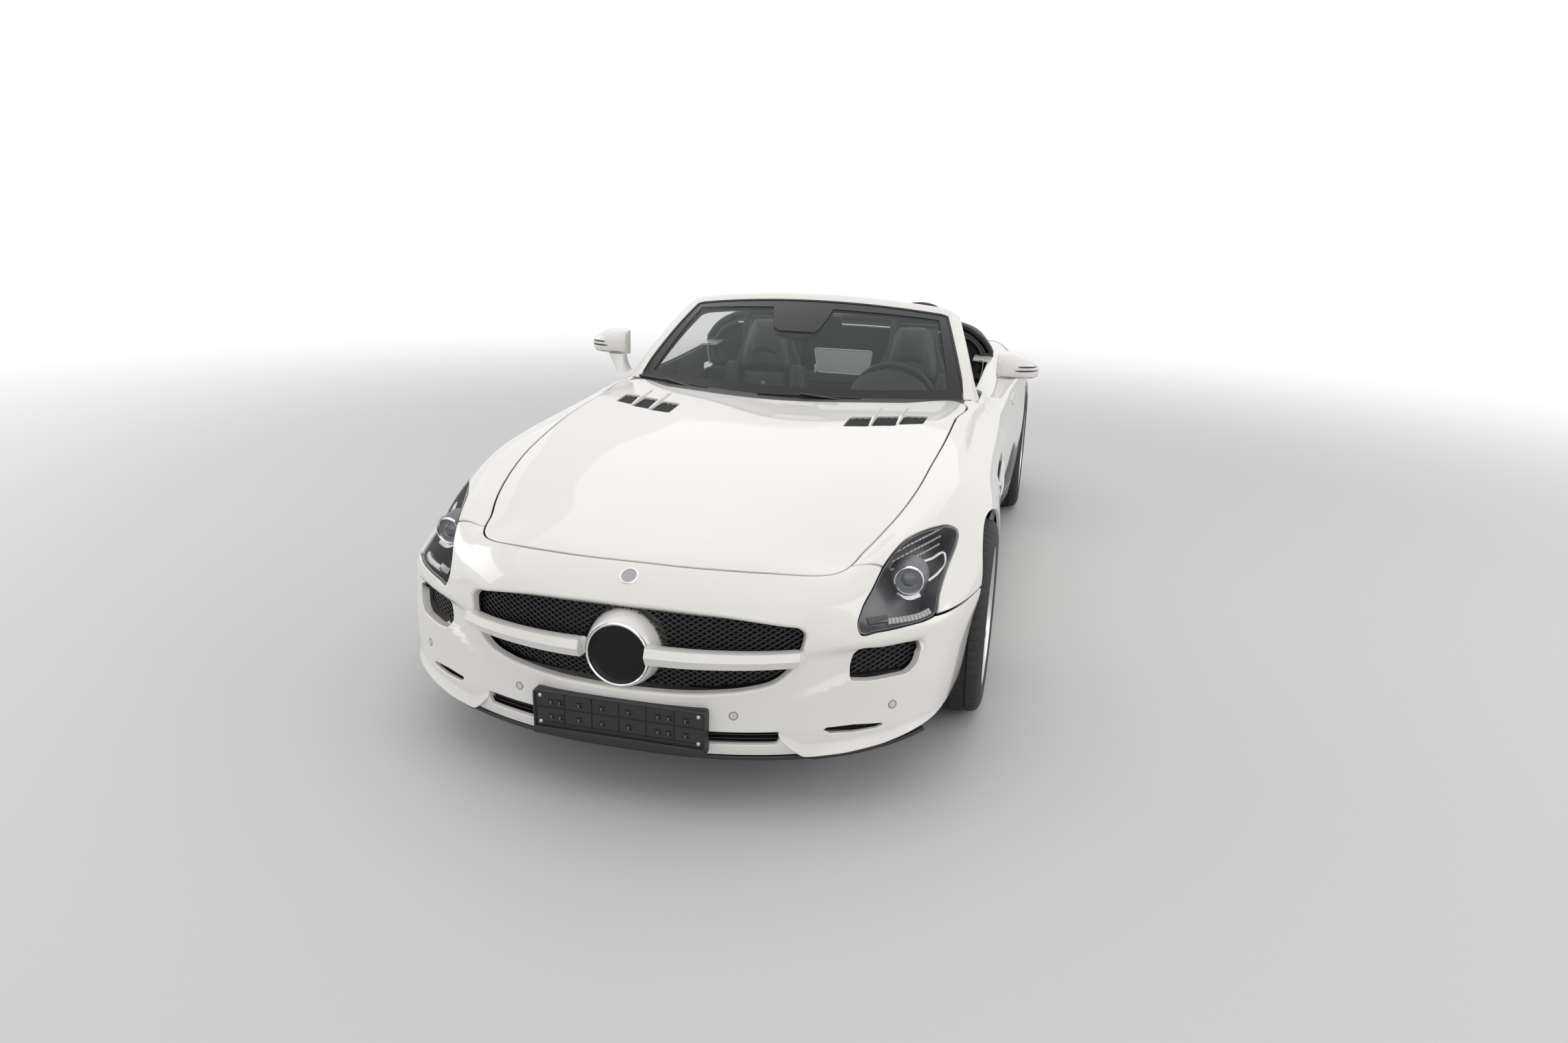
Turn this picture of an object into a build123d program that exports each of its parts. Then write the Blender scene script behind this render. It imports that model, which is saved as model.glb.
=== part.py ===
from build123d import *
import math
import os

# Two-seat roadster with its top down: a long-bonnet, front mid-engined open car on four wheels.
#
# Sizes are in millimetres. +Z is up, the nose faces -Y and +X is the car's left. The origin is on the
# ground, midway between nose and tail. Places along the car are written as stations, measured back
# from the tip of the nose.

# Driving dimensions
LENGTH = 4638
FRONT_AXLE = 990          # station of the front axle
WHEELBASE = 2680
REAR_AXLE = FRONT_AXLE + WHEELBASE
GAP = 6                   # shut line between panels
SKIN = 30                 # thickness of a bonnet or boot lid
FRONT_TYRE = dict(radius=334, width=266, rim=241, centre_x=832)   # 265/35 R19
REAR_TYRE = dict(radius=342, width=294, rim=254, centre_x=820)    # 295/30 R20
FRONT_ARCH = 368          # radius of the arch cut in the skin
REAR_ARCH = 374
FLOOR_Z = 135             # underside of the floor
FLOOR_TOP = 175
SILL_TOP = 235
DOOR_FRONT, DOOR_REAR = 2020, 3080
DOOR_INNER_X = 765
BULKHEAD = 3190           # station of the panel behind the seats
BOOT_FRONT, BOOT_REAR = 3560, 4540
PLATE_Z = 281             # middle of the number plate's four screws
SEAT_X = 385              # centre of each seat
HOOP_X = 400              # centre of each roll hoop
TUNNEL_X = 135            # half width of the transmission tunnel

# Body sections: half widths (x) and heights (z) of the points that each outline passes through.
SECTION_COLUMNS = ("station", "centre_z", "edge_x", "edge_z", "crest_x", "crest_z",
                   "shoulder_x", "shoulder_z", "side_x", "side_z", "low_x", "low_z", "floor_z")
SECTIONS = (
    (4, 552, 60, 550, 90, 546, 112, 530, 125, 480, 112, 425, 400),
    (30, 628, 150, 618, 210, 604, 262, 578, 295, 470, 275, 300, 210),
    (80, 680, 270, 668, 340, 648, 400, 600, 452, 460, 430, 250, 165),
    (180, 722, 430, 693, 505, 672, 572, 608, 628, 470, 606, 245, 145),
    (358, 752, 584, 689, 685, 712, 755, 630, 842, 470, 812, 245, 135),
    (670, 802, 670, 760, 770, 776, 852, 728, 934, 580, 914, 290, FLOOR_Z),
    (FRONT_AXLE, 848, 714, 818, 806, 828, 888, 780, 952, 600, 944, 300, FLOOR_Z),
    (1500, 886, 738, 868, 815, 866, 880, 815, 936, 610, 905, 260, FLOOR_Z),
    (2020, 917, 740, 890, 812, 886, 874, 838, 926, 610, 892, 240, FLOOR_Z),
    (2600, 935, 740, 896, 815, 892, 877, 842, 930, 605, 894, 240, FLOOR_Z),
    (3100, 950, 722, 914, 812, 904, 882, 850, 936, 610, 900, 240, FLOOR_Z),
    (REAR_AXLE, 945, 690, 922, 800, 915, 894, 852, 957, 610, 942, 300, FLOOR_Z),
    (4200, 895, 620, 882, 745, 866, 858, 800, 938, 610, 905, 300, 150),
    (4480, 850, 560, 838, 690, 813, 795, 750, 885, 600, 855, 330, 175),
    (4600, 803, 500, 792, 600, 770, 705, 705, 800, 590, 770, 350, 215),
    (4638, 760, 430, 750, 520, 728, 610, 670, 690, 580, 665, 390, 250),
)


# ---------- helpers ----------
def y_at(station):
    """The Y of a station."""
    return station - LENGTH / 2


def block(x, stations, z):
    """A box from (low, high) pairs."""
    solid = Box(x[1] - x[0], stations[1] - stations[0], z[1] - z[0])
    centre = ((x[0] + x[1]) / 2, y_at(sum(stations) / 2), (z[0] + z[1]) / 2)
    return Pos(*centre) * solid


def both(solid):
    """A left piece with its mirror on the right."""
    return solid + mirror(solid, about=Plane.YZ)


def right_of(solid):
    return mirror(solid, about=Plane.YZ)


def face_of(edges):
    return make_face(Wire(edges).edges())


def loft_of(rings, ruled=False):
    return Solid.make_loft([Wire(edges) for edges in rings], ruled)


def polygon_edges(points):
    return [Line(a, b) for a, b in zip(points, points[1:] + points[:1])]


def plan_prism(points, z):
    """Extrudes an outline of (x, station) points upwards from z[0] to z[1]."""
    ring = polygon_edges([(x, y_at(s), z[0]) for x, s in points])
    return extrude(face_of(ring), amount=z[1] - z[0], dir=(0, 0, 1))


def side_prism(points, x):
    """Extrudes an outline of (station, z) points sideways from x[0] to x[1]."""
    ring = polygon_edges([(x[0], y_at(s), z) for s, z in points])
    return extrude(face_of(ring), amount=x[1] - x[0], dir=(1, 0, 0))


def front_prism(points, stations):
    """Extrudes an outline of (x, z) points backwards between two stations."""
    ring = polygon_edges([(x, y_at(stations[0]), z) for x, z in points])
    return extrude(face_of(ring), amount=stations[1] - stations[0], dir=(0, 1, 0))


def cross_cylinder(radius, x, station, z):
    """A cylinder along X from x[0] to x[1]."""
    solid = Cylinder(radius, x[1] - x[0], rotation=(0, 90, 0))
    return Pos((x[0] + x[1]) / 2, y_at(station), z) * solid


def rod(start, end, radius):
    """A round bar between two points."""
    a, b = Vector(*start), Vector(*end)
    return Solid.make_cylinder(radius, (b - a).length, Plane(origin=a, z_dir=b - a))


# ---------- outer shape ----------
def section_ring(row):
    """One closed body outline, from arcs over the top, wings and sides and a flat underside."""
    s = dict(zip(SECTION_COLUMNS, row))
    y = y_at(s["station"])

    def at(side, name):
        return (side * s[name + "_x"], y, s[name + "_z"])

    edges = [ThreePointArc(at(1, "edge"), (0, y, s["centre_z"]), at(-1, "edge"))]
    foot = 30
    for side in (-1, 1):
        wing = ThreePointArc(at(side, "edge"), at(side, "crest"), at(side, "shoulder"))
        flank = ThreePointArc(at(side, "shoulder"), at(side, "side"), at(side, "low"))
        corner = (side * (s["low_x"] - foot), y, s["floor_z"])
        tuck = Line(at(side, "low"), corner)
        edges += [wing, flank, tuck]
    edges.append(Line((30 - s["low_x"], y, s["floor_z"]), (s["low_x"] - foot, y, s["floor_z"])))
    return edges


def hood_outline(grow=0.0):
    """Plan outline of the bonnet, grown by a gap all round."""
    g = grow
    corner, waist, tail = (584 + g, 358 - g), (716 + g, 1000), (742 + g, 1978 + g)
    fore = ThreePointArc(corner, (658 + g, 610), waist)
    aft = ThreePointArc(waist, (740 + g, 1500), tail)
    rear = ThreePointArc(tail, (0, 1690 + g), (-tail[0], tail[1]))
    front = ThreePointArc((-corner[0], corner[1]), (0, 152 - g), corner)
    far_aft = ThreePointArc((-tail[0], tail[1]), (-740 - g, 1500), (-waist[0], waist[1]))
    far_fore = ThreePointArc((-waist[0], waist[1]), (-658 - g, 610), (-corner[0], corner[1]))
    return [fore, aft, rear, far_aft, far_fore, front]


def hood_prism(grow, z):
    lifted = [Pos(0, -LENGTH / 2, z[0]) * edge for edge in hood_outline(grow)]
    return extrude(face_of(lifted), amount=z[1] - z[0], dir=(0, 0, 1))


LID_OUTLINE = [(-640, BOOT_FRONT), (640, BOOT_FRONT), (600, 4200), (530, BOOT_REAR), (-530, BOOT_REAR),
               (-600, 4200)]
LAMP_OUTLINE = [(636, 549), (828, 553), (872, 720), (850, 752), (760, 748), (690, 700)]
TAIL_LAMP_OUTLINE = [(420, 690), (900, 690), (900, 770), (420, 770)]


def build_outer():
    return loft_of([section_ring(row) for row in SECTIONS])

# ---------- body panels ----------
def moved(solid, back=0.0, up=0.0):
    return Pos(0, back, up) * solid


def mirrored_plan(points):
    """Closes a right-hand-side outline of (x, station) points with its mirror."""
    return points + [(-x, s) for x, s in reversed(points)]


def wheel_wells(axle, wheel, arch_radius, well_radius, inner_x, lip_x):
    """The space for one wheel: a deep well inboard and a tighter arch through the skin."""
    z = wheel["radius"]
    well = cross_cylinder(well_radius, (inner_x, lip_x), axle, z)
    well -= block((0, 1100), (axle - 500, axle + 500), (z + arch_radius, 1200))
    arch = cross_cylinder(arch_radius, (inner_x, 1100), axle, z)
    return well + arch


def arch_cutters():
    front = wheel_wells(FRONT_AXLE, FRONT_TYRE, FRONT_ARCH, 415, 510, 905)
    rear = wheel_wells(REAR_AXLE, REAR_TYRE, REAR_ARCH, REAR_ARCH, 640, 900)
    front += block((450, 700), (FRONT_AXLE - 210, FRONT_AXLE + 210), (100, 480))
    rear += block((590, 700), (REAR_AXLE - 230, REAR_AXLE + 230), (100, 480))
    return both(front) + both(rear)


def grille_prism(stations, shrink=0.0):
    half = [(0, 617), (314, 603), (504, 565), (500, 500), (452, 438), (349, 385), (202, 377)]
    half = [(max(x - shrink, 0), z) for x, z in half]
    points = half + [(-x, z) for x, z in reversed(half) if x > 0]
    return front_prism(points, stations)


def arc_band(front_mid, front_corner, rear_mid, rear_corner, half_width, z):
    """A plan strip between two arcs, both bowed towards the nose."""
    w = half_width
    front = ThreePointArc((-w, y_at(front_corner), z[0]), (0, y_at(front_mid), z[0]),
                          (w, y_at(front_corner), z[0]))
    rear = ThreePointArc((w, y_at(rear_corner), z[0]), (0, y_at(rear_mid), z[0]),
                         (-w, y_at(rear_corner), z[0]))
    sides = [Line(front @ 1, rear @ 0), Line(rear @ 1, front @ 0)]
    return extrude(face_of([front, sides[0], rear, sides[1]]), amount=z[1] - z[0], dir=(0, 0, 1))


def screen_ring(v, inset, near, far):
    """One ring of the windscreen slab: v is 0 at its foot and 1 at its header."""
    foot = dict(half=770, corner=2095, corner_z=885, mid=1782, mid_z=898)
    head = dict(half=628, corner=2575, corner_z=1198, mid=2465, mid_z=1260)
    m = {key: foot[key] + v * (head[key] - foot[key]) for key in foot}
    slope = (m["corner_z"] - m["mid_z"]) / (m["corner"] - m["mid"])
    w = m["half"] - inset

    def at(side, shift):
        return (side * w, y_at(m["corner"] + shift), m["corner_z"] + slope * shift)

    def crown(shift):
        return (0, y_at(m["mid"] + shift), m["mid_z"] + slope * shift)

    front = ThreePointArc(at(1, near), crown(near), at(-1, near))
    back = ThreePointArc(at(-1, far), crown(far), at(1, far))
    return [front, Line(front @ 1, back @ 0), back, Line(back @ 1, front @ 0)]


def screen_slab(v, inset, near, far):
    return loft_of([screen_ring(v[0], inset, near, far), screen_ring(v[1], inset, near, far)], True)


def build_panels():
    """Cuts the outer shape into panels and returns them by name."""
    outer = build_outer()
    under = moved(outer, up=-SKIN)
    ledge = moved(outer, up=-SKIN - GAP)
    high = (400, 1300)

    hood = (outer & hood_prism(0, high)) - under
    lid = (outer & plan_prism(LID_OUTLINE, high)) - under
    grown_lid = [(x + math.copysign(GAP, x), s + (GAP if s > 4000 else -GAP)) for x, s in LID_OUTLINE]
    openings = (hood_prism(GAP, high) + plan_prism(grown_lid, high)) - ledge

    bay = mirrored_plan([(400, 110), (540, 230), (590, 345), (600, 550), (485, 575), (485, 1425),
                         (620, 1440), (620, 1799)])
    shell = outer - openings - (plan_prism(bay, (FLOOR_TOP, 1000)) & ledge)
    shell -= block((-758, 758), (1798, BULKHEAD + 3), (100, 1200))
    shell -= block((-480, 480), (1650, 1799), (500, 1200))
    shell -= block((-684, 684), (BULKHEAD, BOOT_FRONT - 3), (800, 1200))
    shell -= block((-600, 600), (BULKHEAD, BOOT_FRONT - 3), (100, 810))
    shell -= block((-600, 600), (BOOT_FRONT - 10, 4560), (50, 500))
    shell -= block((-520, 520), (BOOT_FRONT + 45, 4480), (490, 1000)) & ledge
    shell -= block((-700, 700), (1300, BULKHEAD), (50, SILL_TOP))
    shell -= block((-485, 485), (640, 1400), (50, 200))
    shell -= arch_cutters()
    shell -= grille_prism((-10, 130))
    shell -= both(block((424, 566), (4370, 4700), (216, 288)))

    lamp = front_prism(LAMP_OUTLINE, (150, 700))
    lamps = both((outer & lamp) - moved(outer, back=110))
    grown_lamp = front_prism([(x + (2 if x > 750 else -2), z + (2 if z > 640 else -2))
                              for x, z in LAMP_OUTLINE], (150, 700))
    shell -= both(grown_lamp - moved(outer, back=113))
    tail = front_prism(TAIL_LAMP_OUTLINE, (4330, 4700))
    tails = both((outer & tail) - moved(outer, back=-70))
    shell -= both(tail - moved(outer, back=-70))
    intake = [(632, 469), (801, 473), (795, 420), (762, 300), (613, 375)]
    shell -= both(front_prism(intake, (-10, 560)) - moved(outer, back=90))
    plate = block((-260, 260), (8, 24), (PLATE_Z - 78, PLATE_Z + 59))
    for x, z in ((-238, -41), (238, -41), (-238, 41), (238, 41)):
        plate -= Pos(x, y_at(16), PLATE_Z + z) * Cylinder(2.5, 40, rotation=(90, 0, 0))
    shell -= block((-262, 262), (-20, 26), (201, 342))

    left = block((0, 1200), (-100, 4800), (0, 1300))
    wing_zone = side_prism([(348, 1200), (348, 563), (628, 609), (646, 609), (646, 100), (1300, 100),
                            (1300, SILL_TOP + 3), (DOOR_FRONT - 6, SILL_TOP + 3), (DOOR_FRONT - 6, 1200)],
                           (0, 1200))
    quarter_zone = side_prism([(DOOR_REAR + 3, 1200), (DOOR_REAR + 3, SILL_TOP + 3),
                               (3320, SILL_TOP + 3), (3320, 100), (4024, 100), (4024, 610),
                               (BOOT_REAR + 2, 610), (BOOT_REAR + 2, 1200)], (0, 1200))
    nose_zone = side_prism([(-20, 0), (-20, 1200), (342, 1200), (342, 557), (628, 603), (640, 603),
                            (640, 0)], (-1200, 1200))
    tail_zone = side_prism([(4030, 0), (4030, 604), (BOOT_REAR + 8, 604), (BOOT_REAR + 8, 1200),
                            (4700, 1200), (4700, 0)], (-1200, 1200))
    boot_frame = block((-517, 517), (3000, 4000), (400, 1300))
    tail_beam = block((-517, 517), (4470, BOOT_REAR + 10), (400, 1300))
    wing = shell & wing_zone
    quarter = (shell & quarter_zone) - boot_frame - tail_beam
    sill_box = block((700, 1000), (1346, 3314), (FLOOR_Z - 10, SILL_TOP - 3))
    sill = (outer & sill_box) - arch_cutters()

    slab = screen_slab((-0.05, 1.0), 0, 0, 84)
    opening = screen_slab((-0.3, 0.86), 52, -150, 250)
    frame = slab - opening
    glass = screen_slab((0.02, 0.87), 50, 30, 42) - frame

    door = outer & block((DOOR_INNER_X, 1100), (DOOR_FRONT, DOOR_REAR), (SILL_TOP + 3, 1200))
    door -= block((700, 792), (2000, 2290), (845, 1200))
    cowl = (outer & arc_band(1696, 1998, 1880, 2065, 755, (760, 1100))) - screen_slab((-0.3, 1.1), -5, -150, 90)

    cowl -= block((-760, 760), (1600, 1798), (700, 850))

    diffuser_box = block((-420, 420), (4300, 4700), (100, 330))
    bumper = (shell & tail_zone) + (shell & tail_beam)
    tow_eye = Pos(-330, y_at(4575), 415) * Cylinder(9, 60.5, rotation=(90, 0, 0))
    bumper -= tow_eye + Pos(-330, y_at(4640), 415) * Cylinder(24, 70, rotation=(90, 0, 0))
    return {
        "bonnet": hood, "boot_lid": lid, "front_bumper": shell & nose_zone,
        "front_wing_left": wing, "front_wing_right": right_of(wing),
        "rear_wing_left": quarter, "rear_wing_right": right_of(quarter),
        "side_sills": both(sill), "door_left": door, "door_right": right_of(door),
        "rear_bumper": bumper - diffuser_box, "rear_diffuser": bumper & diffuser_box,
        "headlamps": lamps, "tail_lamps": tails, "windscreen_frame": frame, "windscreen_glass": glass,
        "cowl": cowl, "number_plate_holder": plate, "boot_floor": shell & boot_frame,
    }

# ---------- structure and cabin ----------
def build_floor():
    floor = block((-700, 700), (1346, 3296), (FLOOR_Z, FLOOR_TOP))
    floor += block((-480, 480), (646, 1346), (FLOOR_Z, 150))
    tunnel = block((-TUNNEL_X, TUNNEL_X), (1800, BULKHEAD - 22), (FLOOR_Z, 470))
    firewall = block((-755, 755), (1800, 1830), (FLOOR_TOP, 757))
    firewall -= block((-1000, 1000), (1790, 1840), (0, SILL_TOP)) - block((-700, 700), (1790, 1840), (0, 400))
    floor += tunnel + firewall
    floor -= block((22 - TUNNEL_X, TUNNEL_X - 22), (1700, 3400), (100, 445))
    rails = both(block((400, 480), (400, 1800), (300, 420)))
    rails += both(block((400, 480), (1770, 1800), (FLOOR_TOP, 420)))
    return floor + rails - arch_cutters()


def build_boot_floor():
    plate = block((-600, 600), (BULKHEAD + 25, 4558), (480, 500))
    rails = both(block((430, 500), (BULKHEAD + 25, 4500), (420, 480)))
    return plate + rails


def build_bulkhead():
    wall = block((-755, 755), (BULKHEAD - 20, BULKHEAD), (FLOOR_TOP + 60, 780))
    wall += block((-700, 700), (BULKHEAD - 20, BULKHEAD), (FLOOR_TOP, 300))
    wall -= block((-TUNNEL_X - 3, TUNNEL_X + 3), (BULKHEAD - 30, BULKHEAD + 10), (0, 472))
    return wall + block((-755, 755), (3120, BULKHEAD), (755, 780))


DASH_OUTLINE = [(1890, 610), (1890, 800), (2060, 846), (2230, 838), (2290, 800), (2285, 700), (2180, 600)]
WHEEL_CENTRE = (SEAT_X, 2430, 805)
COLUMN_RAKE = 25


def steering_plane(offset=0.0):
    rake = math.radians(COLUMN_RAKE)
    x, s, z = WHEEL_CENTRE
    direction = Vector(0, math.cos(rake), math.sin(rake))
    return Plane(origin=Vector(x, y_at(s), z) + direction * offset, x_dir=(1, 0, 0), z_dir=direction)


def column_cylinder(radius, low, high):
    return Solid.make_cylinder(radius, high - low, steering_plane(low))


def build_dashboard():
    dash = side_prism(DASH_OUTLINE, (-748, 748))
    dash -= arc_band(1500, 1685, 1886, 2071, 755, (500, 1000))
    half_hood = [(170, 780), (170, 860), (140, 920), (80, 950)]
    hood = front_prism([(SEAT_X + x, z) for x, z in half_hood] + [(SEAT_X - x, z) for x, z in reversed(half_hood)],
                       (2110, 2280))
    dash += hood
    dash -= column_cylinder(45, -400, 0)
    return dash - screen_slab((-0.2, 0.8), -5, -100, 92)


def build_steering_wheel():
    plane = steering_plane()
    rim = Solid.make_torus(178, 16, plane)
    hub = column_cylinder(68, -30, 25)
    spokes = [plane * Pos(105 * math.cos(a), 105 * math.sin(a), -4) * Rot(0, 0, math.degrees(a)) * Box(140, 34, 14)
              for a in (0.0, math.pi, -math.pi / 2)]
    return rim + hub + column_cylinder(34, -200, -20) + spokes


def build_seat(side):
    """A bucket seat: a cushion with side bolsters, and a back that runs up into the headrest."""
    centre = side * SEAT_X
    cushion = side_prism([(2440, FLOOR_TOP + 5), (2420, 350), (2480, 372), (2880, 330), (2960, 330),
                          (2960, FLOOR_TOP + 5)], (centre - 225, centre + 225))
    bolster = side_prism([(2480, 300), (2520, 420), (2900, 420), (2960, 330), (2960, 260)],
                         (centre + 165, centre + 245))
    bolsters = bolster + Pos(2 * centre, 0, 0) * mirror(bolster, about=Plane.YZ)
    back = side_prism([(2860, 300), (2960, 260), (3000, 330), (3085, 850), (3110, 1110), (3050, 1125),
                       (3005, 1080), (2990, 850), (2895, 400)], (centre - 150, centre + 150))
    wings = side_prism([(2860, 300), (2960, 260), (3000, 330), (3075, 800), (2930, 800), (2810, 500)],
                       (centre - 245, centre + 245))
    hollow = side_prism([(2700, 300), (2890, 400), (2985, 820), (2800, 900)], (centre - 165, centre + 165))
    return cushion + bolsters + (wings - hollow) + back


def build_console():
    top = side_prism([(2200, 471), (2200, 690), (2290, 690), (2420, 560), (3080, 560), (3080, 471)],
                     (5 - TUNNEL_X, TUNNEL_X - 5))
    return top - side_prism(DASH_OUTLINE, (-748, 748))


def build_roll_hoops():
    """Two hoops behind the seats, each narrower at its top."""
    outer = [(150, 780), (135, 1120), (75, 1200), (-75, 1200), (-135, 1120), (-150, 780)]
    inner = [(105, 770), (95, 1100), (50, 1155), (-50, 1155), (-95, 1100), (-105, 770)]
    hoop = front_prism(outer, (3130, 3175)) - front_prism(inner, (3120, 3190))
    return both(Pos(HOOP_X, 0, 0) * hoop)


def build_soft_top():
    """The folded hood, which lies behind the seats and drops to the boot lid."""
    rows = ((BULKHEAD + 4, (684, 800), (780, 940), (735, 1032), (590, 1090), 1100),
            (3380, (684, 800), (752, 930), (700, 1020), (570, 1068), 1078),
            (BOOT_FRONT - 6, (660, 800), (664, 905), (640, 955), (520, 972), 978))
    rings = []
    for station, low, side, shoulder, edge, crown in rows:
        half = [low, side, shoulder, edge]
        points = half + [(0, crown)] + [(-x, z) for x, z in reversed(half)]
        rings.append(polygon_edges([(x, y_at(station), z) for x, z in points]))
    solid = loft_of(rings, True)
    deck = build_outer() - block((-684, 684), (3000, 3800), (0, 1300))
    return solid - deck


# ---------- running gear ----------
def build_powertrain():
    engine = block((-300, 300), (1200, 1760), (190, 760))
    tube = Pos(0, y_at(2600), 330) * Cylinder(70, 1700, rotation=(90, 0, 0))
    return engine + tube + block((-190, 190), (3445, 3900), (235, 470))


def build_exhaust():
    pieces = []
    for side in (-1, 1):
        path = [(74 * side, 1766, 185), (74 * side, 3330, 185), (300 * side, 3460, 273), (340 * side, 3880, 273),
                (390 * side, 4090, 300)]
        points = [(x, y_at(s), z) for x, s, z in path]
        pipe = [rod(a, b, 26) for a, b in zip(points, points[1:])]
        pipe += [Pos(*p) * Sphere(26) for p in points[1:-1]]
        silencer = block((min(230 * side, 570 * side), max(230 * side, 570 * side)), (4080, 4380), (205, 400))
        tips = block((min(430 * side, 560 * side), max(430 * side, 560 * side)), (4370, 4612), (222, 282))
        run = pipe[0]
        for piece in pipe[1:] + [silencer, tips]:
            run += piece
        pieces.append(run)
    return pieces[0] + pieces[1]


def build_suspension(axle, wheel, ball, kingpin_x, strut_top, rack):
    """Crossmember, wishbones, struts and, at the front, the steering rack."""
    hub_z = wheel["radius"]
    low, high = hub_z - ball, hub_z + ball
    half = plan_prism([(470, axle - 140), (560, axle - 120), (kingpin_x, axle - 28), (kingpin_x + 20, axle),
                       (kingpin_x, axle + 28), (560, axle + 120), (470, axle + 140)], (low - 30, low - 10))
    half += plan_prism([(504, axle - 110), (kingpin_x, axle - 26), (kingpin_x + 20, axle),
                        (kingpin_x, axle + 26), (504, axle + 110)], (high + 10, high + 28))
    half -= block((522, 620), (axle - 60, axle + 60), (high, high + 40))
    half += rod((kingpin_x, y_at(axle), low - 20), (kingpin_x, y_at(axle), low - 0.3), 14)
    half += rod((kingpin_x, y_at(axle), high + 0.3), (kingpin_x, y_at(axle), high + 20), 14)
    half += rod((620, y_at(axle), low - 15), (strut_top[0], y_at(axle), strut_top[1]), 36)
    half += block((504, 520), (axle - 110, axle + 110), (low - 30, high + 28))
    cross = block((-480, 480), (axle - 60, axle + 60), (low - 60, low - 10))
    solid = both(half) + cross
    if rack:
        solid += cross_cylinder(26, (-470, 470), axle + 100, low + 20)
        solid += both(block((300, 340), (axle + 40, axle + 110), (low - 30, low + 20)))
    else:
        solid += both(cross_cylinder(22, (191, kingpin_x - 20), axle, hub_z))
    return solid


def build_upright(axle, wheel, ball, kingpin_x):
    """The left hub carrier, with its spindle and brake caliper."""
    hub_z = wheel["radius"]
    disc_x = wheel["centre_x"] - 52
    body = block((kingpin_x - 32, kingpin_x + 20), (axle - 45, axle + 45), (hub_z - ball, hub_z + ball))
    body = body & Pos(kingpin_x, y_at(axle), hub_z) * Cylinder(46, 2 * ball)
    body += cross_cylinder(44, (kingpin_x, disc_x - 15), axle, hub_z)
    body += block((kingpin_x - 10, disc_x - 14), (axle, axle + 150), (hub_z - 40, hub_z + 40))
    caliper = block((disc_x - 34, disc_x + 34), (axle + 100, axle + 206), (hub_z - 60, hub_z + 60))
    caliper -= cross_cylinder(192, (disc_x - 16, disc_x + 16), axle, hub_z)
    return body + caliper - cross_cylinder(50, (disc_x - 8, disc_x + 60), axle, hub_z)


def build_tyre(axle, wheel):
    """A left-hand tyre: a low-profile carcass with rounded shoulders."""
    radius, half, rim = wheel["radius"], wheel["width"] / 2, wheel["rim"]
    points = [(half - 16, rim), (half - 4, rim + 18), (half, (rim + radius) / 2), (half - 8, radius - 22),
              (half - 26, radius - 4), (half - 50, radius)]
    outline = points + [(-x, r) for x, r in reversed(points)]
    ring = polygon_edges([(x, 0, r) for x, r in outline])
    tyre = revolve(face_of(ring), axis=Axis.X, revolution_arc=360)
    return Pos(wheel["centre_x"], y_at(axle), radius) * tyre


def build_rim(axle, wheel):
    """A left-hand rim with ten spokes, its hub and the brake disc bolted behind it."""
    half, bead = wheel["width"] / 2, wheel["rim"]
    centre, hub_z = wheel["centre_x"], wheel["radius"]
    barrel = cross_cylinder(bead, (centre - half + 18, centre + half - 18), axle, hub_z)
    barrel -= cross_cylinder(bead - 12, (centre - half, centre + half), axle, hub_z)
    disc = cross_cylinder(185, (centre - 62, centre - 42), axle, hub_z)
    hub = cross_cylinder(75, (centre - 60, centre + half - 62), axle, hub_z)
    rim = barrel + disc + hub
    spoke = Pos(centre + half - 66, 0, (60 + bead - 6) / 2) * Box(38, 30, bead - 66)
    for index in range(10):
        rim += Pos(0, y_at(axle), hub_z) * Rot(index * 36, 0, 0) * spoke
    return rim


def build_mirror(door):
    housing = fillet(block((866, 1036), (2165, 2258), (958, 1076)).edges(), 24)
    stalk = plan_prism([(868, 2170), (935, 2180), (935, 2235), (868, 2225)], (860, 970))
    return (housing + stalk) - door


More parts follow.
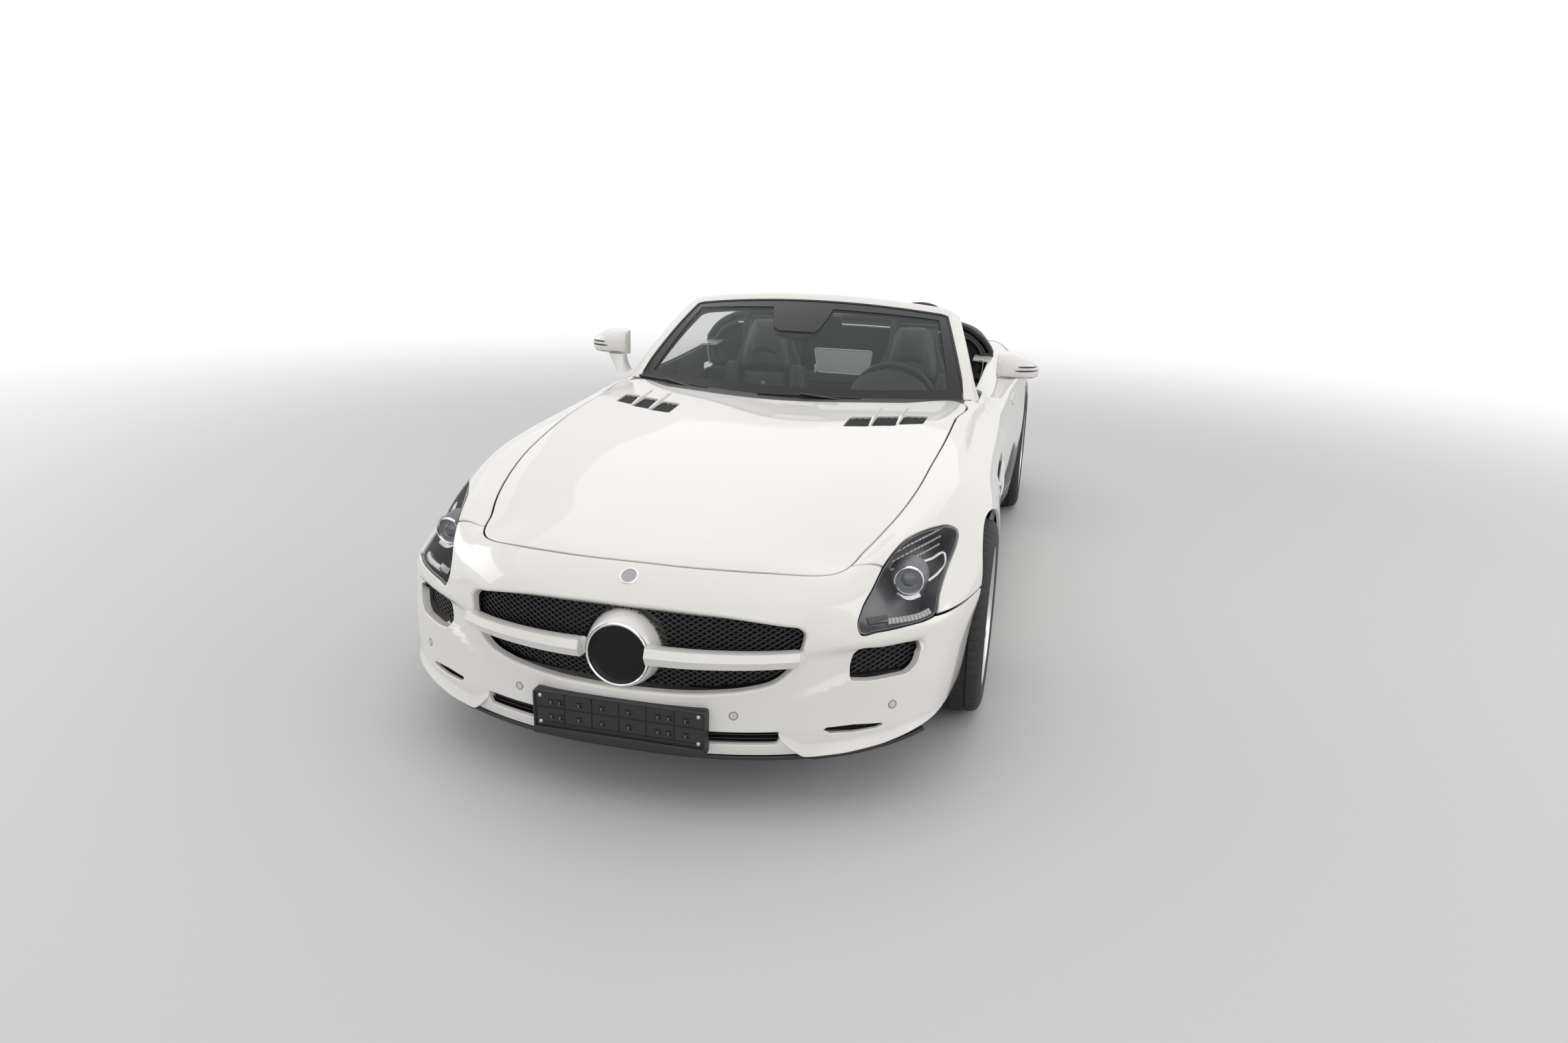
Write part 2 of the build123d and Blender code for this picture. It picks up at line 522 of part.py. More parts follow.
def build_all():
    parts = build_panels()
    parts["floor_pan"] = build_floor()
    parts["boot_floor"] += build_boot_floor()
    parts["rear_bulkhead"] = build_bulkhead()
    parts["dashboard"] = build_dashboard()
    parts["steering_wheel"] = build_steering_wheel()
    parts["seat_left"] = build_seat(1)
    parts["seat_right"] = build_seat(-1)
    parts["centre_console"] = build_console()
    parts["roll_hoops"] = build_roll_hoops()
    parts["soft_top"] = build_soft_top()
    parts["wind_deflector"] = block((-150, 150), (3140, 3148), (782, 915))
    parts["grille_mesh"] = grille_prism((92, 104))
    bar = block((-492, 492), (22, 62), (470, 512))
    dome = Pos(0, y_at(31), 488) * Cylinder(104, 62, rotation=(90, 0, 0))
    parts["grille_bar"] = (bar + dome) & grille_prism((-5, 92))
    parts["powertrain"] = build_powertrain()
    parts["exhaust"] = build_exhaust()
    parts["front_suspension"] = build_suspension(FRONT_AXLE, FRONT_TYRE, 112, 732, (566, 690), True)
    parts["rear_suspension"] = (build_suspension(REAR_AXLE, REAR_TYRE, 105, 715, (585, 470), False)
                                + both(build_upright(REAR_AXLE, REAR_TYRE, 105, 715)))
    parts["knuckle_left"] = build_upright(FRONT_AXLE, FRONT_TYRE, 112, 732)
    parts["knuckle_right"] = right_of(parts["knuckle_left"])
    for place, axle, wheel in (("front", FRONT_AXLE, FRONT_TYRE), ("rear", REAR_AXLE, REAR_TYRE)):
        tyre, rim = build_tyre(axle, wheel), build_rim(axle, wheel)
        parts["tyre_" + place + "_left"], parts["rim_" + place + "_left"] = tyre, rim
        parts["tyre_" + place + "_right"], parts["rim_" + place + "_right"] = right_of(tyre), right_of(rim)
    for side in ("left", "right"):
        door = parts["door_" + side]
        mirror_left = build_mirror(parts["door_left"])
        parts["mirror_" + side] = mirror_left if side == "left" else right_of(mirror_left)
    return parts


os.makedirs("parts", exist_ok=True)
for node, solid in build_all().items():
    export_step(solid, "parts/" + node + ".step")
    print(node, len(solid.solids()), solid.is_valid, round(solid.volume / 1e6, 2))
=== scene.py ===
import math

import bpy
import numpy as np
from mathutils import Matrix, Vector

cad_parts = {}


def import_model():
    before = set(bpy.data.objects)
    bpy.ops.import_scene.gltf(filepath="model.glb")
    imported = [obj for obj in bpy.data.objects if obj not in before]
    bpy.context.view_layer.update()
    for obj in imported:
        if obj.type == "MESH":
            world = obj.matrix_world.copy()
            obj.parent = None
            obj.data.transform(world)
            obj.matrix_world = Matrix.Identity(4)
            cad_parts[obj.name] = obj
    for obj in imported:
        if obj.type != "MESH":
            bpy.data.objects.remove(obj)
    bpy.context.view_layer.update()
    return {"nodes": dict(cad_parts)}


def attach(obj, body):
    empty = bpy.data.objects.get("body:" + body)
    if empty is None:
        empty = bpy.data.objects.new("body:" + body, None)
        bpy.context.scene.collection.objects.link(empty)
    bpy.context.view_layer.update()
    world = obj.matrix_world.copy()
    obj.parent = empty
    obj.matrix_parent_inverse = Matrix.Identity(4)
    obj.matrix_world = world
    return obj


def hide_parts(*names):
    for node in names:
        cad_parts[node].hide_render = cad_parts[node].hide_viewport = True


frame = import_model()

LENGTH = 4.638
MIDDLE = LENGTH / 2
FRONT_AXLE = 0.990
REAR_AXLE = FRONT_AXLE + 2.680
FRONT_HUB_Z, REAR_HUB_Z = 0.334, 0.342
FRONT_ARCH, REAR_ARCH = 0.368, 0.374
GAP = 0.005                  # shut line between panels
ROLL = 0.003                 # rolled edge of a panel
SKIN = 0.012                 # how far a panel's edge turns in
SILL_TOP = 0.238
BODY_FOOT = 0.150
DOOR_FRONT, DOOR_REAR = 2.020, 3.080
DOOR_INNER = 0.768
SIDES = ((1, "left"), (-1, "right"))

# Top of the body, mm. Station: centre z, ridge (x, z), bonnet edge (x, z), crest (x, z), outer (x, z)
TOP = (
    (0, 600, 300, 586, 500, 545, 620, 505, 750, 425),
    (30, 630, 300, 614, 500, 575, 620, 535, 750, 455),
    (80, 678, 310, 663, 500, 627, 630, 582, 780, 495),
    (150, 708, 330, 697, 520, 664, 655, 632, 800, 545),
    (250, 732, 350, 722, 552, 678, 678, 680, 800, 602),
    (358, 751, 370, 741, 584, 689, 700, 722, 805, 655),
    (520, 778, 385, 770, 634, 729, 728, 753, 835, 702),
    (660, 800, 395, 795, 668, 759, 768, 776, 872, 722),
    (830, 826, 400, 822, 700, 792, 795, 806, 903, 755),
    (990, 846, 400, 843, 714, 818, 806, 828, 915, 776),
    (1320, 873, 400, 871, 733, 856, 813, 857, 905, 806),
    (1660, 895, 400, 894, 743, 878, 815, 874, 893, 826),
    (2000, 916, 400, 908, 740, 889, 812, 886, 886, 840),
    (2600, 935, 400, 922, 740, 895, 815, 893, 889, 846),
    (3100, 950, 400, 945, 720, 915, 810, 905, 893, 854),
    (3670, 945, 380, 940, 690, 922, 800, 915, 906, 856),
    (4200, 895, 350, 893, 620, 880, 745, 865, 868, 800),
    (4480, 850, 300, 848, 560, 835, 700, 810, 822, 745),
    (4700, 800, 300, 797, 500, 780, 650, 750, 780, 680),
)
# Sides, mm. Station: half width at each height of SIDE_Z
SIDE_Z = (850, 760, 610, 450, 270, 140)
SIDE = (
    (250, 800, 870, 922, 912, 885, 850),
    (650, 830, 905, 948, 924, 900, 862),
    (990, 850, 922, 966, 964, 950, 925),
    (1500, 850, 912, 946, 940, 918, 890),
    (2020, 875, 914, 934, 927, 905, 882),
    (2600, 877, 916, 937, 930, 906, 882),
    (3100, 890, 923, 946, 942, 918, 890),
    (3670, 893, 940, 969, 968, 955, 935),
    (4200, 850, 915, 946, 943, 925, 900),
    (4480, 790, 870, 906, 902, 885, 860),
    (4700, 720, 800, 840, 835, 815, 790),
)
# Nose, mm. Height: station of the front at each half width of NOSE_X
NOSE_X = (0, 250, 450, 600, 700, 800, 870, 930)
NOSE = (
    (140, 60, 75, 125, 195, 255, 335, 430, 560),
    (200, 25, 40, 95, 165, 225, 305, 400, 540),
    (300, 12, 28, 85, 160, 220, 300, 385, 520),
    (400, 8, 24, 82, 160, 222, 305, 385, 505),
    (500, 6, 22, 80, 165, 235, 318, 400, 505),
    (550, 10, 28, 88, 178, 255, 335, 420, 560),
    (620, 30, 46, 105, 215, 305, 425, 560, 690),
    (680, 70, 85, 140, 250, 345, 490, 640, 800),
    (740, 115, 130, 190, 290, 390, 560, 750, 950),
    (860, 200, 215, 290, 400, 520, 750, 980, 1250),
)
# Tail, mm. Height: station of the back at each half width of TAIL_X
TAIL_X = (0, 400, 650, 800, 880, 950)
TAIL = (
    (200, 4590, 4580, 4500, 4400, 4300, 4150),
    (350, 4618, 4606, 4530, 4430, 4330, 4180),
    (550, 4634, 4622, 4545, 4440, 4340, 4180),
    (700, 4638, 4626, 4548, 4435, 4330, 4150),
    (780, 4630, 4617, 4530, 4400, 4280, 4080),
    (850, 4600, 4585, 4470, 4300, 4150, 3900),
    (950, 4480, 4460, 4300, 4100, 3900, 3600),
)


# ---------- curves ----------
def hermite(knots, values, at):
    """Smooth curves, one a row, through knots and values (rows x points), read at one place a row."""
    step = np.diff(knots, axis=1)
    slope = np.diff(values, axis=1) / step
    inner = (slope[:, :-1] * step[:, 1:] + slope[:, 1:] * step[:, :-1]) / (step[:, 1:] + step[:, :-1])
    slopes = np.concatenate([slope[:, :1], inner, slope[:, -1:]], axis=1)
    span = np.clip((at[:, None] > knots).sum(1) - 1, 0, step.shape[1] - 1)
    row = np.arange(len(at))
    width = step[row, span]
    over = at - knots[row, span]
    t = np.clip(over / width, 0, 1)
    start, end = values[row, span], values[row, span + 1]
    m0, m1 = slopes[row, span] * width, slopes[row, span + 1] * width
    curve = (2 * t**3 - 3 * t**2 + 1) * start + (t**3 - 2 * t**2 + t) * m0
    curve += (3 * t**2 - 2 * t**3) * end + (t**3 - t**2) * m1
    return curve + (m0 * np.minimum(over, 0) + m1 * np.maximum(over - width, 0)) / width


def spline(rows):
    """Natural cubic spline through rows of (knot, values...) in mm, straight beyond its ends."""
    table = np.array(rows, float) / 1000
    knots, values = table[:, 0], table[:, 1:]
    count, step = len(knots), np.diff(knots)
    system, right = np.eye(count), np.zeros_like(values)
    for i in range(1, count - 1):
        system[i, i - 1:i + 2] = step[i - 1], 2 * (step[i - 1] + step[i]), step[i]
        right[i] = 6 * ((values[i + 1] - values[i]) / step[i] - (values[i] - values[i - 1]) / step[i - 1])
    bend = np.linalg.solve(system, right)
    first = (values[1] - values[0]) / step[0] - step[0] * bend[1] / 6
    last = (values[-1] - values[-2]) / step[-1] + step[-1] * bend[-2] / 6

    def at(place):
        inside = np.clip(place, knots[0], knots[-1])
        i = np.clip(np.searchsorted(knots, inside) - 1, 0, count - 2)
        t0, t1, w = (inside - knots[i])[:, None], (knots[i + 1] - inside)[:, None], step[i][:, None]
        curve = (bend[i] * t1**3 + bend[i + 1] * t0**3) / (6 * w)
        curve += (values[i] / w - bend[i] * w / 6) * t1 + (values[i + 1] / w - bend[i + 1] * w / 6) * t0
        beyond = (place - inside)[:, None]
        return curve + np.where(beyond < 0, first, last) * beyond
    return at


def smooth_max(a, b, radius):
    """The larger of two distances, rounded where they meet."""
    near = np.maximum(radius - np.abs(a - b), 0) / radius
    return np.maximum(a, b) + near * near * radius / 4


def smoothstep(low, high, value):
    t = np.clip((value - low) / (high - low), 0, 1)
    return t * t * (3 - 2 * t)


# ---------- the body's surface ----------
TOP_AT, SIDE_AT, NOSE_AT, TAIL_AT = spline(TOP), spline(SIDE), spline(NOSE), spline(TAIL)


def top_z(x, s):
    row = TOP_AT(s)
    knots = np.stack([-row[:, 1], 0 * s, row[:, 1], row[:, 3], row[:, 5], row[:, 7]], 1)
    heights = np.stack([row[:, 2], row[:, 0], row[:, 2], row[:, 4], row[:, 6], row[:, 8]], 1)
    return hermite(knots, heights, x)


def side_x(s, z):
    knots = np.tile(-np.array(SIDE_Z) / 1000, (len(s), 1))
    return hermite(knots, SIDE_AT(s), -z)


def end_station(table, columns):
    """The station of the nose or tail over (x, z)."""
    half = np.array(columns) / 1000
    knots = np.concatenate([-half[1:2], half])

    def at(x, z):
        values = table(z)
        values = np.concatenate([values[:, 1:2], values], axis=1)
        return hermite(np.tile(knots, (len(x), 1)), values, x)
    return at


nose_s, tail_s = end_station(NOSE_AT, NOSE_X), end_station(TAIL_AT, TAIL_X)


def surface_distance(surface, height, a, b, step=1e-3):
    """Rough distance from a surface given as height over (a, b)."""
    value = surface(a, b)
    slope_a = (surface(a + step, b) - value) / step
    slope_b = (surface(a, b + step) - value) / step
    return (height - value) / np.sqrt(1 + slope_a**2 + slope_b**2)


def field(p):
    """Distance from the body's surface, negative inside, at (x, station, z) points."""
    x, s, z = np.abs(p[:, 0]), p[:, 1], p[:, 2]
    nose = -surface_distance(nose_s, s, x, z) + intake_scoop(x, z)
    body = smooth_max(surface_distance(top_z, z, x, s), surface_distance(side_x, x, s, z), 0.10)
    body = smooth_max(body, nose, 0.07)
    return smooth_max(body, surface_distance(tail_s, s, x, z), 0.09)


def intake_scoop(x, z):
    """How far the bumper is pressed in between the grille and the side intake."""
    across = smoothstep(0.45, 0.62, x) * (1 - smoothstep(0.80, 0.815, x))
    foot = 0.349 + (x - 0.46) * 0.345
    up = smoothstep(foot, foot + 0.028, z) * (1 - smoothstep(0.475, 0.512, z))
    return 0.022 * across * up


def shoot(origin, direction, far):
    """Follows rays from inside the body out to its surface."""
    low, high = np.zeros(len(origin)), np.full(len(origin), float(far))
    for _ in range(7):
        middle = (low + high) / 2
        outside = field(origin + direction * middle[:, None]) > 0
        high, low = np.where(outside, middle, high), np.where(outside, low, middle)
    at_low = field(origin + direction * low[:, None])
    at_high = field(origin + direction * high[:, None])
    for _ in range(4):
        middle = np.clip(low - at_low * (high - low) / (at_high - at_low + 1e-12), low, high)
        value = field(origin + direction * middle[:, None])
        outside = value > 0
        high, at_high = np.where(outside, middle, high), np.where(outside, value, at_high)
        low, at_low = np.where(outside, low, middle), np.where(outside, at_low, value)
    return origin + direction * np.where(np.abs(at_low) < np.abs(at_high), low, high)[:, None]


def normal(p, step=5e-4):
    slope = np.stack([field(p + d) - field(p - d) for d in np.eye(3) * step], 1)
    return slope / np.linalg.norm(slope, axis=1, keepdims=True)


def from_above(uv):
    """Chart of the top: uv is (x, station)."""
    origin = np.column_stack([uv[:, 0], uv[:, 1], np.full(len(uv), 0.35)])
    return shoot(origin, np.tile((0.0, 0.0, 1.0), (len(uv), 1)), 0.75)


def around_flank(uv):
    """Chart of a flank: uv is (station, angle up from level) about a line inside the wing."""
    origin = np.column_stack([np.full(len(uv), 0.60), uv[:, 0], np.full(len(uv), 0.55)])
    direction = np.column_stack([np.cos(uv[:, 1]), 0 * uv[:, 0], np.sin(uv[:, 1])])
    return shoot(origin, direction, 0.75)


def around_point(centre, forward):
    """Chart of an end: uv is (azimuth, elevation) about a point inside; forward is -1 at the nose."""
    def chart(uv):
        level = np.cos(uv[:, 1])
        direction = np.column_stack([np.sin(uv[:, 0]) * level, forward * np.cos(uv[:, 0]) * level,
                                     np.sin(uv[:, 1])])
        return shoot(np.tile(centre, (len(uv), 1)), direction, 1.4)
    return chart


NOSE_CHART = around_point((0, .85, .40), -1)
TAIL_CHART = around_point((0, 3.85, .45), 1)
FLANK_ANGLES = np.radians(np.arange(-60, 119, 2.4))


# ---------- outlines ----------
def facing_axes(facing):
    """Two axes square to the way an outline faces."""
    n = np.array(facing, float) / np.linalg.norm(facing)
    across = np.cross((0, 0, 1), n) if abs(n[2]) < 0.95 else np.array((1.0, 0, 0))
    across = across / np.linalg.norm(across)
    return np.stack([across, np.cross(n, across)], 1)


def closed_curve(points, spacing=0.005):
    """A smooth closed curve through points."""
    count = len(points)
    ring = np.array([points[i % count] for i in range(-3, count + 4)], float)
    along = np.concatenate([[0], np.cumsum(np.linalg.norm(np.diff(ring, axis=0), axis=1))])
    start, end = along[3], along[3 + count]
    places = np.linspace(start, end, int((end - start) / spacing) + 1)[:-1]
    knots = np.tile(along, (len(places), 1))
    return np.stack([hermite(knots, np.tile(ring[:, k], (len(places), 1)), places)
                     for k in range(ring.shape[1])], 1)


def rounded_polygon(points, radius, turns=3):
    """A polygon with its corners rounded off."""
    ring = []
    for last, corner, following in zip(np.roll(points, 1, axis=0), points, np.roll(points, -1, axis=0)):
        start, end = (corner + (q - corner) * min(radius / np.linalg.norm(q - corner), .45)
                      for q in (last, following))
        ring += [(1 - t)**2 * start + 2 * t * (1 - t) * corner + t**2 * end
                 for t in np.linspace(0, 1, turns + 1)]
    return np.array(ring)


class Outline:
    """A closed outline on the body, seen along the way it faces. A corner radius makes its sides straight."""

    def __init__(self, points, facing, mirrored=False, corner=None):
        points = [tuple(p) for p in points]
        if mirrored:
            points += [(-p[0], *p[1:]) for p in reversed(points) if p[0] > 0]
        self.axes = facing_axes(facing)
        flat = np.array(points) @ self.axes
        self.ring = rounded_polygon(flat, corner) if corner else closed_curve(flat)
        following = np.roll(self.ring, -1, axis=0)
        area = np.sum(self.ring[:, 0] * following[:, 1] - following[:, 0] * self.ring[:, 1])
        if area < 0:
            self.ring = self.ring[::-1]

    def __call__(self, p):
        """Distance from the outline, negative inside."""
        flat = p @ self.axes
        best = np.full(len(flat), 1e9)
        inside = np.zeros(len(flat), bool)
        for a, b in zip(self.ring, np.roll(self.ring, -1, axis=0)):
            edge, to = b - a, flat - a
            t = np.clip(to @ edge / (edge @ edge), 0, 1)
            off = to - t[:, None] * edge
            best = np.minimum(best, off[:, 0]**2 + off[:, 1]**2)
            if a[1] != b[1]:
                crossed = (a[1] > flat[:, 1]) != (b[1] > flat[:, 1])
                inside ^= crossed & (flat[:, 0] < a[0] + (flat[:, 1] - a[1]) * edge[0] / edge[1])
        return np.sqrt(best) * np.where(inside, -1, 1)


def outside(cut, margin=GAP / 2 + ROLL):
    """Keeps what lies outside a cut by a margin."""
    return lambda p: margin - cut(p)


def within(cut, margin=GAP / 2 + ROLL):
    return lambda p: cut(p) + margin


def mirrored_cut(cut):
    """The same cut on both sides of the car."""
    return lambda p: cut(np.abs(p) * (1, 0, 0) + p * (0, 1, 1))


BONNET_POINTS = [(0, .145), (.22, .152), (.387, .188), (.462, .221), (.505, .249), (.540, .279), (.566, .312),
                 (.584, .356), (.600, .422), (.626, .497), (.668, .655), (.702, .854), (.719, 1.060),
                 (.735, 1.320), (.741, 1.660), (.742, 1.950), (.727, 1.968), (.50, 1.816), (.25, 1.722),
                 (0, 1.690)]
BONNET = Outline([(x, s, 0) for x, s in BONNET_POINTS], (0, 0, 1), mirrored=True)
LAMP = Outline([(.643, .206, .541), (.690, .241, .538), (.758, .296, .542), (.818, .355, .550),
                (.832, .372, .556), (.835, .442, .594), (.848, .568, .653), (.860, .676, .697),
                (.8595, .700, .707), (.852, .712, .720), (.838, .702, .729), (.792, .624, .746),
                (.749, .545, .747), (.720, .486, .742), (.697, .416, .725), (.680, .361, .702),
                (.659, .287, .648), (.639, .235, .598), (.634, .211, .556)],
               (0.50, -0.60, 0.62))
GRILLE = Outline([(0, 0, .610), (.16, 0, .608), (.32, 0, .599), (.45, 0, .579), (.492, 0, .569),
                  (.506, 0, .555), (.505, 0, .525), (.495, 0, .487), (.470, 0, .447), (.432, 0, .416),
                  (.364, 0, .396), (.286, 0, .385), (.206, 0, .378), (.10, 0, .373), (0, 0, .371)],
                  (0, -1, 0), mirrored=True)
INTAKE = Outline([(.639, .189, .484), (.71, .24, .487), (.785, .300, .490), (.803, .318, .486),
                  (.803, .312, .46), (.796, .304, .430), (.775, .283, .408), (.74, .25, .404),
                  (.650, .19, .405), (.628, .176, .411), (.626, .18, .425), (.632, .185, .470)],
                  (0.35, -1, 0))


OUTER_SLOT = Outline([(.552, .137, .270), (.640, .19, .272), (.730, .233, .264), (.708, .224, .251),
                      (.640, .19, .247), (.580, .148, .250)], (.45, -1, 0), corner=.004)
GILL = Outline([(1, 1.452, .712), (1, 1.870, .722), (1, 1.835, .606), (1, 1.500, .592)], (1, 0, 0),
               corner=.030)
LAMP_GAP = .0045             # between a lamp and the panels around it
COWL_FRONT = 1.62            # behind this the front wing ends at the scuttle
WING_INNER = .7475


def wing_seam(p):
    """Negative on the front wing, positive on the bumper."""
    s, z = p[:, 1], p[:, 2]
    foot = np.where(s < FRONT_AXLE, 0.556 - 0.035 * (s - 0.38), SILL_TOP)
    return np.maximum(0.348 - s, foot - z)


def arch(axle, hub_z, radius):
    return lambda p: np.hypot(p[:, 1] - axle, p[:, 2] - hub_z) - radius


ARCH_MARGIN = .004
OFF_FRONT_ARCH = outside(arch(FRONT_AXLE, FRONT_HUB_Z, FRONT_ARCH), ARCH_MARGIN)
OFF_REAR_ARCH = outside(arch(REAR_AXLE, REAR_HUB_Z, REAR_ARCH), ARCH_MARGIN)


def before(station, slant=0.0):
    """Negative ahead of a station line that may lean with height."""
    return lambda p: p[:, 1] - station - slant * (p[:, 2] - 0.5)


def below(height):
    return lambda p: p[:, 2] - height


# ---------- meshes ----------
class Mesh:
    """Points, faces and a finish for each face, gathered for one piece."""

    def __init__(self):
        self.points, self.faces, self.finishes, self.normals = [], [], [], []
        self.count = 0

    def add(self, points, faces, finish=0, normals=None):
        """normals, where given, has one for each corner of each face in turn."""
        self.points.append(np.asarray(points, float).reshape(-1, 3))
        self.faces += [[i + self.count for i in face] for face in faces]
        self.finishes += [finish] * len(faces)
        self.normals.append(normals)
        self.count += len(self.points[-1])
        return self

    def solid(self, points, faces, finish=0):
        """Adds a closed mesh with its faces turned to point out."""
        points = np.asarray(points, float)
        return self.add(points, outward(points, faces), finish)

    def build(self, name, body, finishes, nodes=(), side=1, sharp=35):
        points = np.concatenate(self.points) * (side, 1, 1) - (0, MIDDLE, 0)
        faces = self.faces if side > 0 else [face[::-1] for face in self.faces]
        mesh = bpy.data.meshes.new(name)
        mesh.from_pydata(points.tolist(), [], faces)
        finishes = [finishes] if isinstance(finishes, str) else finishes
        for finish in finishes:
            mesh.materials.append(FINISH[finish])
        mesh.polygons.foreach_set("material_index", self.finishes)
        mesh.polygons.foreach_set("use_smooth", [True] * len(faces))
        if self.normals[0] is not None:
            normals = np.concatenate(self.normals) * (side, 1, 1)
            if side < 0:
                ends = np.cumsum([len(face) for face in self.faces])
                order = np.concatenate([np.arange(end - 1, end - 1 - len(face), -1)
                                        for end, face in zip(ends, self.faces)])
                normals = normals[order]
            mesh.normals_split_custom_set(normals.tolist())
        else:
            mesh.set_sharp_from_angle(angle=math.radians(sharp))
        piece = bpy.data.objects.new(name, mesh)
        bpy.context.scene.collection.objects.link(piece)
        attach(piece, body)
        if nodes:
            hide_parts(*nodes)
        return piece


def build_pairs(*pieces):
    """Builds each (mesh, name, body, finishes, nodes...) twice. {} in a body or node is left or right."""
    for side, word in SIDES:
        for mesh, name, body, finishes, *nodes in pieces:
            mesh.build(f"{name}_{word}", body.format(word), finishes, [node.format(word) for node in nodes],
                       side)


def loft(rings, closed=True, caps=True):
    """Points and faces over a row of rings with equal counts."""
    rings = np.asarray(rings, float)
    rows, columns = rings.shape[:2]
    faces = []
    for r in range(rows - 1):
        for c in range(columns if closed else columns - 1):
            d = (c + 1) % columns
            faces.append([r * columns + c, r * columns + d, (r + 1) * columns + d, (r + 1) * columns + c])
    if caps and closed:
        faces.append(list(range(columns))[::-1])
        faces.append([(rows - 1) * columns + c for c in range(columns)])
    return rings.reshape(-1, 3), faces


def loop_loft(rings):
    """A ring-shaped solid: the last ring joins the first."""
    rings = np.asarray(rings, float)
    points, faces = loft(rings, caps=False)
    rows, columns = rings.shape[:2]
    last = (rows - 1) * columns
    return points, faces + [[last + c, last + (c + 1) % columns, (c + 1) % columns, c]
                            for c in range(columns)]


def outward(points, faces):
    """Turns a closed mesh's faces so that they point out."""
    triangles = np.array([(face[0], face[i], face[i + 1]) for face in faces for i in range(1, len(face) - 1)])
    a, b, c = (points[triangles[:, k]] for k in range(3))
    volume = np.sum(a * np.cross(b, c))
    return faces if volume > 0 else [face[::-1] for face in faces]


# ---------- panels ----------
def clip(chart, uv, points, faces, keep):
    """Cuts faces along keep(point) = 0 and drops the positive side."""
    value = keep(points)
    inside = (value <= 0).tolist()
    crossings, kept = {}, []
    for face in faces:
        held = [inside[i] for i in face]
        if all(held):
            kept.append(face)
        elif any(held):
            cut = []
            for k, i in enumerate(face):
                j = face[(k + 1) % len(face)]
                if held[k]:
                    cut.append(i)
                if inside[i] != inside[j]:
                    pair = (i, j) if inside[i] else (j, i)
                    cut.append(crossings.setdefault(pair, len(uv) + len(crossings)))
            kept.append(cut)
    if crossings:
        a, b = [pair[0] for pair in crossings], [pair[1] for pair in crossings]
        low, high = np.zeros(len(a)), np.ones(len(a))
        at_low, at_high = value[a], value[b]
        for step in range(9):
            share = 0.5 if step % 3 == 2 else np.clip(at_low / (at_low - at_high - 1e-12), 0.02, 0.98)
            t = low + (high - low) * share
            here = keep(points[a] + (points[b] - points[a]) * t[:, None])
            out = here > 0
            high, at_high = np.where(out, t, high), np.where(out, here, at_high)
            low, at_low = np.where(out, low, t), np.where(out, at_low, here)
        fresh = uv[a] + (uv[b] - uv[a]) * low[:, None]
        uv, points = np.concatenate([uv, fresh]), np.concatenate([points, chart(fresh)])
    return uv, points, kept


def patch(chart, u, v, cuts):
    """A piece of the body's surface: points, normals, faces and the open edges."""
    grid = np.stack(np.meshgrid(u, v, indexing="ij"), -1).reshape(-1, 2)
    rows, columns = len(u), len(v)
    faces = [[i * columns + j, (i + 1) * columns + j, (i + 1) * columns + j + 1, i * columns + j + 1]
             for i in range(rows - 1) for j in range(columns - 1)]
    uv, points = grid, chart(grid)
    for keep in cuts:
        uv, points, faces = clip(chart, uv, points, faces, keep)
    used = sorted({i for face in faces for i in face})
    place = {old: new for new, old in enumerate(used)}
    faces = [[place[i] for i in face] for face in faces]
    points = points[used]
    normals = normal(points)
    first = faces[0]
    turn = np.cross(points[first[1]] - points[first[0]], points[first[2]] - points[first[1]])
    if turn @ normals[first[0]] < 0:
        faces = [face[::-1] for face in faces]
    directed = {(face[k], face[(k + 1) % len(face)]) for face in faces for k in range(len(face))}
    open_edges = [edge for edge in directed if edge[::-1] not in directed]
    return points, normals, faces, sorted(open_edges)


